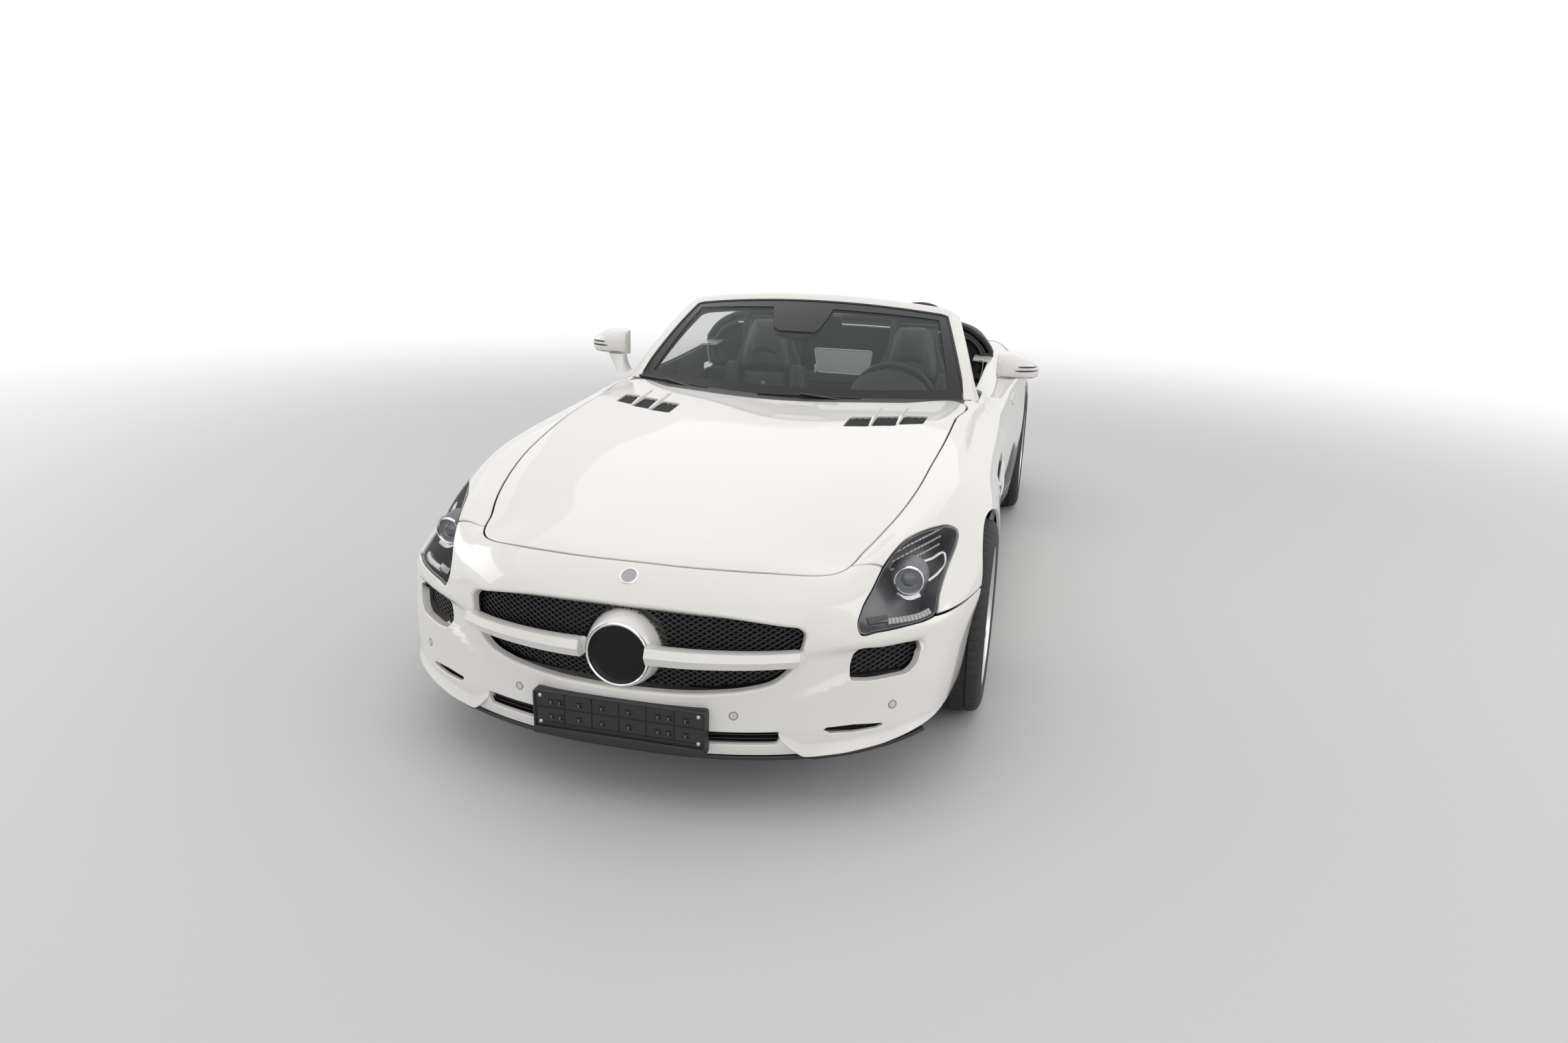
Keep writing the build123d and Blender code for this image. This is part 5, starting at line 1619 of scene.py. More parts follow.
# ---------- padded pieces ----------
def inflate(points, faces, voxel=.007, pressure=4.0, cap=.010, frames=20):
    """Remeshes a closed form and swells it as stuffed cloth, each point moving no further than the cap."""
    scene = bpy.context.scene
    points = np.asarray(points, float)
    mesh = bpy.data.meshes.new("pad_work")
    mesh.from_pydata(points.tolist(), [], outward(points, faces))
    work = bpy.data.objects.new("pad_work", mesh)
    scene.collection.objects.link(work)
    remesh = work.modifiers.new("remesh", "REMESH")
    remesh.mode = "VOXEL"
    remesh.voxel_size = voxel
    made = bpy.data.meshes.new_from_object(work.evaluated_get(bpy.context.evaluated_depsgraph_get()))
    work.modifiers.clear()
    work.data = made
    start = np.empty(len(made.vertices) * 3)
    made.vertices.foreach_get("co", start)
    start = start.reshape(-1, 3)
    rest_faces = [list(polygon.vertices) for polygon in made.polygons]
    swollen = start
    cloth = work.modifiers.new("cloth", "CLOTH")
    cloth.settings.use_pressure = True
    cloth.settings.uniform_pressure_force = pressure
    cloth.settings.effector_weights.gravity = 0
    cloth.settings.quality = 4
    cloth.point_cache.frame_start, cloth.point_cache.frame_end = 1, frames
    for frame_number in range(1, frames + 1):
        scene.frame_set(frame_number)
    settled = work.evaluated_get(bpy.context.evaluated_depsgraph_get()).data
    swollen = np.empty(len(settled.vertices) * 3)
    settled.vertices.foreach_get("co", swollen)
    swollen = swollen.reshape(-1, 3)
    scene.frame_set(1)
    bpy.data.objects.remove(work)
    shift = swollen - start
    far = np.linalg.norm(shift, axis=1, keepdims=True)
    return start + shift * np.minimum(1, cap / np.maximum(far, 1e-9)), rest_faces


def smooth_points(points, faces, rounds=3):
    """Evens a mesh out by moving each point towards its neighbours' middle."""
    edges = np.array(sorted({tuple(sorted((face[k], face[(k + 1) % len(face)]))) for face in faces
                             for k in range(len(face))}))
    count = np.bincount(edges.ravel(), minlength=len(points))[:, None]
    for _ in range(rounds):
        total = np.zeros_like(points)
        np.add.at(total, edges[:, 0], points[edges[:, 1]])
        np.add.at(total, edges[:, 1], points[edges[:, 0]])
        points = points * .4 + total / count * .6
    return points


def pad(name, solids, finish, channels=(), voxel=.007):
    """A stuffed piece on each side; channels are (point, normal, depth, width) planes of sewn grooves."""
    points, faces, count = [], [], 0
    for solid in solids:
        own_points, own_faces = inflate(*solid, voxel=voxel)
        own_points = smooth_points(own_points, own_faces)
        faces += [[i + count for i in face] for face in own_faces]
        points.append(own_points)
        count += len(own_points)
    points = np.concatenate(points)
    middle = points.mean(0)
    for place, across, depth, width in channels:
        off = np.abs((points - place) @ across)
        inward = middle - points
        inward -= np.outer(inward @ across, across)
        inward /= np.linalg.norm(inward, axis=1, keepdims=True) + 1e-9
        points = points + inward * (depth * np.exp(-(off / width) ** 2))[:, None]
    mesh = Mesh()
    mesh.add(points, faces)
    for side, word in SIDES:
        piece = mesh.build(f"{name}_{word}", "chassis", finish, side=side, sharp=180)
        modifier = piece.modifiers.new("fine", "SUBSURF")
        modifier.levels = modifier.render_levels = 1


# ---------- seats ----------
SEAT_X = 0.385
BACK_LINE = [(2.870, .330), (2.905, .420), (2.945, .560), (2.975, .700), (2.998, .830), (3.020, .950),
             (3.045, 1.060)]


def back_frame(t):
    """Place and forward direction on the seat back's middle line, t from 0 at its foot to 1 at its top."""
    line = curve_through(BACK_LINE, 41)
    index = np.linspace(0, 1, 41)
    t = min(max(t, 0), 1)
    place = np.array([np.interp(t, index, line[:, k]) for k in (0, 1)])
    step = np.array([np.interp(min(t + .02, 1), index, line[:, k])
                     - np.interp(max(t - .02, 0), index, line[:, k])
                     for k in (0, 1)])
    step /= np.linalg.norm(step)
    return place, np.array((-step[1], step[0]))


def back_rings(low, high, half_width, front, rear, shift=lambda t: 0.0, count=15, corner=.025):
    """Rings of a pad that follows the seat back between two heights."""
    rings = []
    for t in np.linspace(low, high, count):
        place, forward = back_frame(t)
        w, f, r = half_width(t), front(t), rear(t)
        outline = rounded(2 * w, f + r, min(corner, w * .7, (f + r) * .45), turns=4)
        middle = place + forward * (f - r) / 2
        spots = middle + outline[:, 1:] * forward
        rings.append(np.column_stack([SEAT_X + shift(t) + outline[:, 0], spots]))
    return loft(rings)


def cushion_rings(x, half_width, top, low, stations, corner=.025):
    rings = []
    for s in stations:
        w, high, foot = half_width(s), top(s), low(s)
        outline = rounded(2 * w, high - foot, min(corner, w * .7), turns=4)
        rings.append(np.column_stack([x + outline[:, 0], np.full(len(outline), s),
                                      (high + foot) / 2 + outline[:, 1]]))
    return loft(rings)


def build_seats():
    s = np.linspace(2.432, 2.885, 15)
    end = lambda q: smoothstep(2.425, 2.47, q)
    base = cushion_rings(SEAT_X, lambda q: .138 + .012 * end(q),
                         lambda q: .322 + .030 * end(q) - .035 * smoothstep(2.5, 2.85, q),
                         lambda q: .250 - .01 * end(q), s, .03)
    across = np.array((0.0, 1.0, 0.0))
    channels = [((SEAT_X, q, .3), across, .006, .006) for q in (2.53, 2.61, 2.69, 2.77)]
    pad("seat_cushion", [base], "perforated", channels)
    bolsters = []
    for way in (-1, 1):
        rings = []
        for q in np.linspace(2.445, 2.935, 15):
            rise = .355 + .050 * smoothstep(2.44, 2.56, q) - .02 * smoothstep(2.80, 2.93, q)
            outline = rounded(.064, rise - .245, .028, turns=4)
            lean = way * .016
            rings.append(np.column_stack([SEAT_X + way * .192 + outline[:, 0] + lean * outline[:, 1] / .08,
                                          np.full(len(outline), q), (rise + .245) / 2 + outline[:, 1]]))
        bolsters.append(loft(rings))
        bolsters.append(back_rings(.02, .70, lambda t: .032 + .006 * math.sin(math.pi * t),
                                   lambda t: .060 + .035 *
                                   math.sin(math.pi * min(t / .72, 1)), lambda t: .045,
                                   lambda t, way=way: way * (.190 - .020 * smoothstep(.45, .72, t)),
                                   corner=.03))
    pad("seat_bolsters", bolsters, "leather", voxel=.008)
    panel = back_rings(.03, .66, lambda t: .142 - .012 * t,
                       lambda t: .036 + .008 * math.sin(math.pi * t * 1.4), lambda t: .030)
    levels = []
    for t in (.16, .27, .38, .49):
        place, forward = back_frame(t)
        step = np.array((0.0, forward[1], -forward[0]))
        levels.append((np.array((SEAT_X, *place)), step, .006, .006))
    pad("seat_back_panel", [panel], "perforated", levels)
    head = back_rings(.645, 1.0,
                      lambda t: .150 - .045 * smoothstep(.66, 1.0, t) - .020 * smoothstep(.92, 1.0, t),
                      lambda t: .050 - .012 * smoothstep(.8, 1.0, t), lambda t: .030, corner=.035)
    crown = back_rings(.76, .985, lambda t: .088 - .018 * smoothstep(.90, 1.0, t), lambda t: .064,
                       lambda t: -.01,
                       corner=.03)
    pad("seat_head_restraint", [head, crown], "leather")
    hard, seam = Mesh(), Mesh()
    hard.solid(*back_rings(-.02, 1.0,
                           lambda t: .222 - .030 * smoothstep(.4, .7, t) - .072 * smoothstep(.62, .95, t),
                           lambda t: -.020, lambda t: .050 - .010 * smoothstep(.7, 1.0, t), count=22,
                           corner=.020))
    hard.solid(*cushion_rings(SEAT_X, lambda q: .214, lambda q: .262, lambda q: .215,
                              np.linspace(2.435, 2.925, 8), .012))
    for way in (-1, 1):
        hard.solid(*block((SEAT_X + way * .150 - .014, 2.46, .180), (SEAT_X + way * .150 + .014, 2.92, .216),
                          .003))
        hard.solid(*cushion_rings(SEAT_X + way * .224, lambda q: .006, lambda q: .288, lambda q: .225,
                                  np.linspace(2.46, 2.92, 8), .004))
        line = []
        for t in np.linspace(.05, .64, 24):
            place, forward = back_frame(t)
            line.append((SEAT_X + way * (.150 - .012 * t), *(place + forward * .052)))
        seam.solid(*sweep(line, circle(.0016, 6)))
        line = [(SEAT_X + way * .154, q, .357 - .030 * smoothstep(2.5, 2.85, q))
                for q in np.linspace(2.47, 2.86, 18)]
        seam.solid(*sweep(line, circle(.0016, 6)))
    place, forward = back_frame(.555)
    spot = np.array((SEAT_X, *(place + forward * .050)))
    disc_on(hard, spot, np.array((0, *forward)), .014, .003, finish=1)
    build_pairs((hard, "seat_shell", "chassis", ["soft_black", "satin_dark"], "seat_{}"),
                (seam, "seat_seams", "chassis", "thread"))


# ---------- dashboard ----------
DASH_SECTION = [(1.905, .640), (1.905, .806), (1.935, .838), (2.030, .853), (2.140, .852), (2.205, .846),
                (2.236, .832), (2.248, .806), (2.250, .770), (2.262, .742), (2.292, .722), (2.292, .690),
                (2.268, .660), (2.215, .622), (2.150, .605)]


def build_dashboard():
    top, low, trim, bright = Mesh(), Mesh(), Mesh(), Mesh()
    x = np.concatenate([np.linspace(-.742, -.70, 4), np.linspace(-.66, .66, 34), np.linspace(.70, .742, 4)])
    rings = []
    for px in x:
        ring = []
        glass = 1.905 + .26 * (px / .77) ** 2
        for s, z in closed_curve(np.array(DASH_SECTION), .016):
            ring.append((px, max(s, glass) if z > .80 else max(s, min(glass, 2.12)),
                         z - .004 * (px / .7) ** 2))
        rings.append(ring)
    top.solid(*loft(rings))
    top.build("dashboard_pad", "chassis", "dash_leather", ["dashboard"])
    hood = []
    for t in np.linspace(0, 1, 12):
        s = 2.075 + .185 * t
        w = .135 + .045 * t ** .7
        rise = .850 + (.956 - .850) * t ** .6
        arc = [(SEAT_X + w * math.cos(a), s, .835 + (rise - .835) * math.sin(a) ** .85)
               for a in np.linspace(0, math.pi, 21)]
        hood.append(arc)
    hood = np.array(hood)
    middle = np.array((SEAT_X, 0, .835))
    inner = hood.copy()
    inner[:, :, 0] = middle[0] + (hood[:, :, 0] - middle[0]) * .90
    inner[:, :, 2] = middle[2] + (hood[:, :, 2] - middle[2]) * .86 - .004
    low.solid(*loft(np.concatenate([hood, inner[:, ::-1]], axis=1)))
    back = [(SEAT_X + .160 * math.cos(a), 2.215, .790 + .142 * math.sin(a))
            for a in np.linspace(-.35, math.pi + .35, 30)]
    low.solid(*prism(back, (0, -.02, 0), .002))
    low.build("instrument_hood", "chassis", "dash_leather")
    for way in (-1, 1):
        spot = (SEAT_X + way * .078, 2.216, .846)
        bright.solid(*lathe([(-.006, .056), (.008, .058), (.012, .055), (.010, .0525), (-.006, .0525)], spot,
                            (0, 1, .10), 48, ring=True))
        trim.solid(*lathe([(-.004, .052), (.002, .052), (.003, .030), (.003, .001)], spot, (0, 1, .10), 48))
        bright.solid(*lathe([(.002, .006), (.010, .006), (.011, .004)], spot, (0, 1, .10), 20))
        for k in range(11):
            a = math.radians(-130 + 26 * k)
            out = np.array((math.sin(a), 0, math.cos(a)))
            tick = np.array(spot) + (0, .0035, 0)
            bright.solid(*sweep([tick + out * .041, tick + out * .049], rounded(.0016, .0012, .0004),
                                up=(0, 1, 0)))
    for px in (-.640, -.105, .105, .640):
        spot = np.array((px, 2.256, .775))
        bright.solid(*lathe([(-.030, .0430), (.006, .0450), (.013, .0430), (.011, .0390), (-.030, .0370)],
                            spot, (0, 1, .10), 48, ring=True))
        trim.solid(*lathe([(-.026, .037), (-.018, .036), (-.016, .002)], spot, (0, 1, .10), 32))
        for turn in (0, math.pi / 2):
            way = np.array((math.cos(turn), 0, math.sin(turn)))
            trim.solid(*sweep([spot - way * .037 + (0, .002, 0), spot + way * .037 + (0, .002, 0)],
                              rounded(.004, .014, .001), up=(0, 1, 0)))
        bright.solid(*lathe([(-.010, .009), (.008, .009), (.010, .007)], spot, (0, 1, .10), 24))
    line = [(px, 2.2925, .706) for px in np.linspace(-.73, .73, 40)]
    bright.solid(*sweep(line, rounded(.006, .022, .002)))
    pane = [(px, 2.252, pz) for px, pz in rounded(.118, .075, .006) + (0, .745)]
    trim.build("dash_gauges_and_vents", "chassis", "gloss_black")
    bright.build("dash_bright_trim", "chassis", "satin")
    display = Mesh()
    display.solid(*prism(np.array(pane) + (0, .004, .035), (0, -.010, 0), .001))
    display.build("dash_display", "chassis", "gloss_black")


def build_console():
    mesh, trim, bright = Mesh(), Mesh(), Mesh()
    s = np.concatenate([np.linspace(2.205, 2.30, 6), np.linspace(2.33, 3.07, 16)])
    rings = []
    for q in s:
        high = (.560 + .125 * (1 - smoothstep(2.20, 2.42, q))
                + .022 * smoothstep(2.74, 2.80, q) * (1 - smoothstep(3.04, 3.08, q)))
        outline = rounded(.236, high - .474, .016, turns=4)
        rings.append(np.column_stack([outline[:, 0], np.full(len(outline), q),
                                      (high + .474) / 2 + outline[:, 1]]))
    mesh.solid(*loft(rings))
    mesh.build("console_body", "chassis", "leather", ["centre_console"])
    plate_rings = []
    for q in np.linspace(2.30, 2.74, 16):
        high = .562 + .125 * (1 - smoothstep(2.20, 2.42, q))
        outline = rounded(.150, .008, .003)
        plate_rings.append(np.column_stack([outline[:, 0], np.full(len(outline), q), high + outline[:, 1]]))
    bright.solid(*loft(plate_rings))
    lever = curve_through([(0, 2.500, .575), (0, 2.505, .610), (0, 2.520, .640)], 8)
    trim.solid(*sweep(lever, rounded(.026, .020, .008), up=(0, 1, 0)))
    knob = [(-.022, .010), (-.016, .019), (0, .024), (.016, .022), (.026, .014), (.028, .002)]
    trim.solid(*lathe(knob, (0, 2.525, .655), (0, .3, 1), 28))
    for px in np.linspace(-.052, .052, 5):
        trim.solid(*block((px - .010, 2.640, .568), (px + .010, 2.668, .5735), .002))
    trim.solid(*lathe([(-.004, .024), (.014, .024), (.018, .021), (.018, .002)], (0, 2.590, .565), (0, 0, 1),
                      36))
    trim.build("console_controls", "chassis", "gloss_black")
    bright.build("console_plate", "chassis", "satin")


def build_steering_wheel():
    """The rim, three spokes and pad, square to the raked column."""
    centre = np.array((SEAT_X, 2.430, .805))
    rake = math.radians(25)
    normal_way = np.array((0, math.cos(rake), math.sin(rake)))
    up = np.array((0, -math.sin(rake), math.cos(rake)))
    right = np.array((1.0, 0, 0))

    def at(x, y, out=0.0):
        return centre + right * x + up * y + normal_way * out

    rim, bright, soft = Mesh(), Mesh(), Mesh()
    radius = .178
    rings = []
    for a in np.linspace(0, 2 * math.pi, 97)[:-1]:
        flat = radius if math.sin(a) > -.90 else min(radius, .165 / abs(math.sin(a)))
        x, y = flat * math.cos(a), flat * math.sin(a)
        way = np.array((math.cos(a), math.sin(a)))
        thick = .0150 + .0012 * (abs(math.cos(a)) > .72)
        ring = [at(x + way[0] * thick * math.cos(b), y + way[1] * thick * math.cos(b),
                   thick * .95 * math.sin(b))
                for b in np.linspace(0, 2 * math.pi, 17)[:-1]]
        rings.append(ring)
    rim.solid(*loop_loft(rings))
    rim.build("steering_rim", "steering_wheel", "leather", ["steering_wheel"])
    for spread in (math.radians(8), math.radians(172), math.radians(262), math.radians(278)):
        way = np.array((math.cos(spread), math.sin(spread)))
        line = [at(*(way * r), .004 - .012 * ((r - .05) / .12)) for r in np.linspace(.045, .168, 9)]
        wide = np.linspace(.046, .030, 9) if abs(way[1]) < .5 else np.full(9, .018)
        section = np.stack([rounded(w, .012, .004) for w in wide])
        bright.solid(*sweep(line, section, up=normal_way))
    bright_arc = np.linspace(math.radians(25), math.radians(155), 40)
    line = [at(radius * math.cos(a), radius * math.sin(a), .0150) for a in bright_arc]
    bright.solid(*sweep(line, rounded(.0035, .002, .0008), up=normal_way))
    hub_rings = []
    for out, scale in ((-.028, .80), (-.020, .96), (.006, 1.0), (.018, .93), (.025, .78), (.028, .45)):
        hub_rings.append([at(.078 * scale * math.copysign(abs(math.cos(a)) ** .8, math.cos(a)),
                             .066 * scale * math.copysign(abs(math.sin(a)) ** .8, math.sin(a)), out)
                          for a in np.linspace(0, 2 * math.pi, 41)[:-1]])
    soft.solid(*loft(hub_rings))
    column = [(-.200, .032), (-.190, .038), (-.110, .040), (-.100, .050), (-.032, .052), (-.030, .034)]
    soft.solid(*lathe(column, centre, normal_way, 32))
    for way in (-1, 1):
        stalk = [at(way * x, .010, -.055) for x in np.linspace(.040, .150, 9)]
        soft.solid(*sweep(stalk, np.stack([rounded(w, w * .7, w * .3) for w in np.linspace(.012, .020, 9)]),
                          up=up))
        paddle = [at(way * x, y, -.022)
                  for x, y in ((.070, .012), (.100, .050), (.112, .052), (.112, .020), (.090, .002))]
        bright.solid(*prism(paddle, -normal_way * .004, .001))
        for row in (.014, -.008):
            for column_x in (.088, .108):
                disc_on(soft, at(way * column_x, row, .004), normal_way, .0065, .003)
    disc_on(bright, at(0, 0, .0275), normal_way, .024, .002)
    bright.build("steering_spokes", "steering_wheel", "satin")
    soft.build("steering_pad", "steering_wheel", "soft_black")


# ---------- door trims ----------
DOOR_TRIM = (2.036, 3.064)


def door_trim_ring(s):
    """The section of a door's inner trim at one station, armrest included."""
    top = above(.80, s)[0, 2]
    arm = smoothstep(2.36, 2.52, s) * (1 - smoothstep(2.98, 3.05, s))
    outer = [beside(s, z)[0, 0] - .022 for z in (.46, .66)]
    return [(.800, s, top - .013), (.772, s, top - .005), (.760, s, top - .010), (.754, s, top - .028),
            (.753, s, top - .060), (.756, s, .770), (.752 - .010 * arm, s, .715),
            (.752 - .040 * arm, s, .684), (.752 - .050 * arm, s, .668), (.752 - .050 * arm, s, .646),
            (.752 - .040 * arm, s, .630), (.753 - .006 * arm, s, .600), (.754, s, .520), (.757, s, .400),
            (.760, s, .275), (.768, s, .252), (.785, s, .245), (.855, s, .246), (outer[0], s, .46),
            (outer[1], s, .66), (.835, s, top - .040)]


def build_door_trims():
    trim, bright, dark, cloth = Mesh(), Mesh(), Mesh(), Mesh()
    trim.solid(*loft([door_trim_ring(s) for s in steps(*DOOR_TRIM, .022)]))
    rail = [(.748, s, .748 + .012 * math.sin((s - 2.2) * 3)) for s in np.linspace(2.12, 2.98, 44)]
    bright.solid(*sweep(rail, rounded(.006, .013, .002)))
    pull = curve_through([(.748, 2.520, .735), (.722, 2.545, .728), (.716, 2.640, .722), (.722, 2.735, .724),
                          (.748, 2.760, .730)], 24)
    bright.solid(*sweep(pull, rounded(.012, .020, .005)))
    lever = curve_through([(.750, 2.330, .776), (.738, 2.345, .776), (.736, 2.400, .780),
                           (.742, 2.425, .783)], 14)
    bright.solid(*sweep(lever, rounded(.007, .018, .003)))
    speaker = np.array((.757, 2.285, .430))
    bright.solid(*lathe([(-.004, .080), (.004, .080), (.006, .076), (.004, .072), (-.004, .072)], speaker,
                        (-1, 0, 0), 56, ring=True))
    dark.solid(*lathe([(-.006, .072), (.001, .072), (.004, .050), (.005, .002)], speaker, (-1, 0, 0), 56))
    for ring in range(1, 6):
        count = 6 * ring
        for k in range(count):
            a = 2 * math.pi * k / count
            spot = speaker + (-.0035, .0115 * ring * math.cos(a), .0115 * ring * math.sin(a))
            dark.solid(*lathe([(-.002, .0034), (.0012, .0030), (.0012, .0004)], spot, (-1, 0, 0), 8))
    pocket = [(.746, s, .300 + .018 * smoothstep(2.42, 2.50, s)) for s in np.linspace(2.42, 2.96, 22)]
    dark.solid(*sweep(pocket, rounded(.016, .060, .007)))
    for low, high in ((2.42, 2.60), (2.615, 2.72)):
        for s in np.linspace(low, high, 3)[:-1]:
            dark.solid(*block((.704, s, .6665), (.738, s + .060, .6735), .002))
    seam = [(.7525 - .040 * (smoothstep(2.36, 2.52, s) * (1 - smoothstep(2.98, 3.05, s))) - .0005, s, .6852)
            for s in np.linspace(2.34, 3.03, 60)]
    cloth.solid(*sweep(seam, circle(.0014, 6)))
    seal = [(.7665, s, above(.80, s)[0, 2] - .001) for s in np.linspace(2.33, 3.05, 40)]
    dark.solid(*sweep(seal, rounded(.007, .008, .003)))
    build_pairs((trim, "door_trim", "door_{}", "dash_leather"),
                (bright, "door_bright_trim", "door_{}", "satin"),
                (dark, "door_speaker", "door_{}", "trim_black"), (cloth, "door_seam", "door_{}", "thread"))


# ---------- behind the seats ----------
def build_bulkhead():
    section = [(3.128, .180), (3.123, .360), (3.121, .560), (3.123, .700), (3.128, .752), (3.140, .776),
               (3.160, .784), (3.184, .783), (3.189, .770), (3.190, .180)]
    mesh, net = Mesh(), Mesh()
    rings = []
    for x in np.linspace(-.750, .750, 61):
        swell = .004 * math.cos(x * 14) * (abs(x) < .66)
        rings.append([(x, s - (swell if s < 3.13 else 0), z - .010 * (x / .75) ** 4 * (z > .74))
                      for s, z in section])
    mesh.solid(*loft(rings))
    mesh.build("bulkhead_carpet", "chassis", "carpet", ["rear_bulkhead"])
    for x in (-.20, .20):
        net.solid(*sweep([(x, 3.116, z) for z in np.linspace(.50, .74, 8)], rounded(.012, .006, .002),
                         up=(0, 1, 0)))
    net.solid(*sweep([(x, 3.114, .742) for x in np.linspace(-.215, .215, 12)], rounded(.008, .016, .003)))
    net.build("bulkhead_rails", "chassis", "trim_black")


def build_roll_hoops():
    bar, foot = Mesh(), Mesh()
    half = [(.148, .776), (.146, .880), (.141, .990), (.132, 1.068), (.114, 1.112), (.084, 1.140),
            (.046, 1.156), (0, 1.161)]
    line = [(.400 + x, 3.152, z) for x, z in half] + [(.400 - x, 3.152, z) for x, z in reversed(half[:-1])]
    path = curve_through(line, 70)
    section = rounded(.040, .034, .013, turns=4)
    both_sides(bar, sweep(path, section, up=(0, 1, 0)))
    for z in (.86, .96, 1.06):
        both_sides(foot,
                   sweep([(x, 3.158, z) for x in np.linspace(.272, .528, 12)], rounded(.010, .018, .004)))
    for x in (.252, .548):
        both_sides(foot, block((x - .034, 3.126, .770), (x + .034, 3.178, .796), .008))
    bar.build("roll_hoop_bars", "chassis", "soft_black", ["roll_hoops"])
    foot.build("roll_hoop_feet", "chassis", "trim_black")


def build_deflector():
    """The pale draught stop between the hoops, with a brighter rim."""
    plate, rim = Mesh(), Mesh()
    outline = rounded(.296, .130, .014, turns=5)
    ring = [(x * (1 + .06 * z / .065), 3.1415 - .006 * z / .065, .8485 + z) for x, z in outline]
    plate.solid(*prism(ring, (0, .0035, 0), .001))
    loops = []
    for k in range(len(ring)):
        ahead_point, behind_point = np.array(ring[(k + 1) % len(ring)]), np.array(ring[k - 1])
        along = (ahead_point - behind_point) / np.linalg.norm(ahead_point - behind_point)
        out = np.cross(along, (0, 1, 0))
        loops.append([np.array(ring[k]) + (0, .0015, 0) + out * a + np.array((0, b, 0)) for a, b in
                      rounded(.006, .008, .0024)])
    rim.solid(*loop_loft(loops))
    for x in (-.150, .150):
        rim.solid(*block((x - .006, 3.134, .782), (x + .006, 3.150, .826), .002))
    plate.build("deflector_plate", "chassis", "pale_plastic", ["wind_deflector"])
    rim.build("deflector_rim", "chassis", "pale_rim")


# ---------- folded soft top ----------
ROOF_STATIONS = (3.200, 3.380, 3.554)
ROOF_ROWS = {"half": (.785, .752, .655), "crown": (1.095, 1.075, .972), "drop": (.155, .145, .065)}
ROOF_FIT = {key: np.polyfit(np.array(ROOF_STATIONS) - 3.2, values, 2) for key, values in ROOF_ROWS.items()}
ROOF_FRONT, ROOF_REAR = 3.206, 3.530
CLOTH_GAP, CLOTH_THICK = .020, .0026


def roof_point(u, s):
    """The top of the folded stack: u from -1 to 1 across."""
    half, crown, drop = (np.polyval(ROOF_FIT[key], s - 3.2) for key in ("half", "crown", "drop"))
    return np.stack([half * np.sin(u * math.pi / 2 * .96) / math.sin(math.pi / 2 * .96), s + 0 * u,
                     crown - .006 * u ** 2 - drop * np.abs(np.sin(u * math.pi / 2 * .96)) ** 9], -1)


def roof_normal(u, s, step=1e-3):
    across = roof_point(u + step, s) - roof_point(u - step, s)
    along = roof_point(u, s + step) - roof_point(u, s - step)
    n = np.cross(across, along)
    return n / np.linalg.norm(n, axis=-1, keepdims=True)


def cloth_rows():
    """(station, depth below the top, push forward) down the folded cloth from its buried end to its hem."""
    rows = []
    for layer in range(4):
        depth = CLOTH_GAP * (3 - layer)
        forward = layer % 2 == 0
        line = np.linspace(ROOF_REAR, ROOF_FRONT, 26) if forward else np.linspace(ROOF_FRONT, ROOF_REAR, 26)
        rows += [(s, depth, 0.0) for s in line]
        if layer < 3:
            end, way = (ROOF_FRONT, -1) if forward else (ROOF_REAR, 1)
            for a in np.linspace(0, math.pi, 9)[1:-1]:
                rows.append((end, depth - CLOTH_GAP / 2 * (1 - math.cos(a)),
                             way * CLOTH_GAP * .55 * math.sin(a)))
    return rows


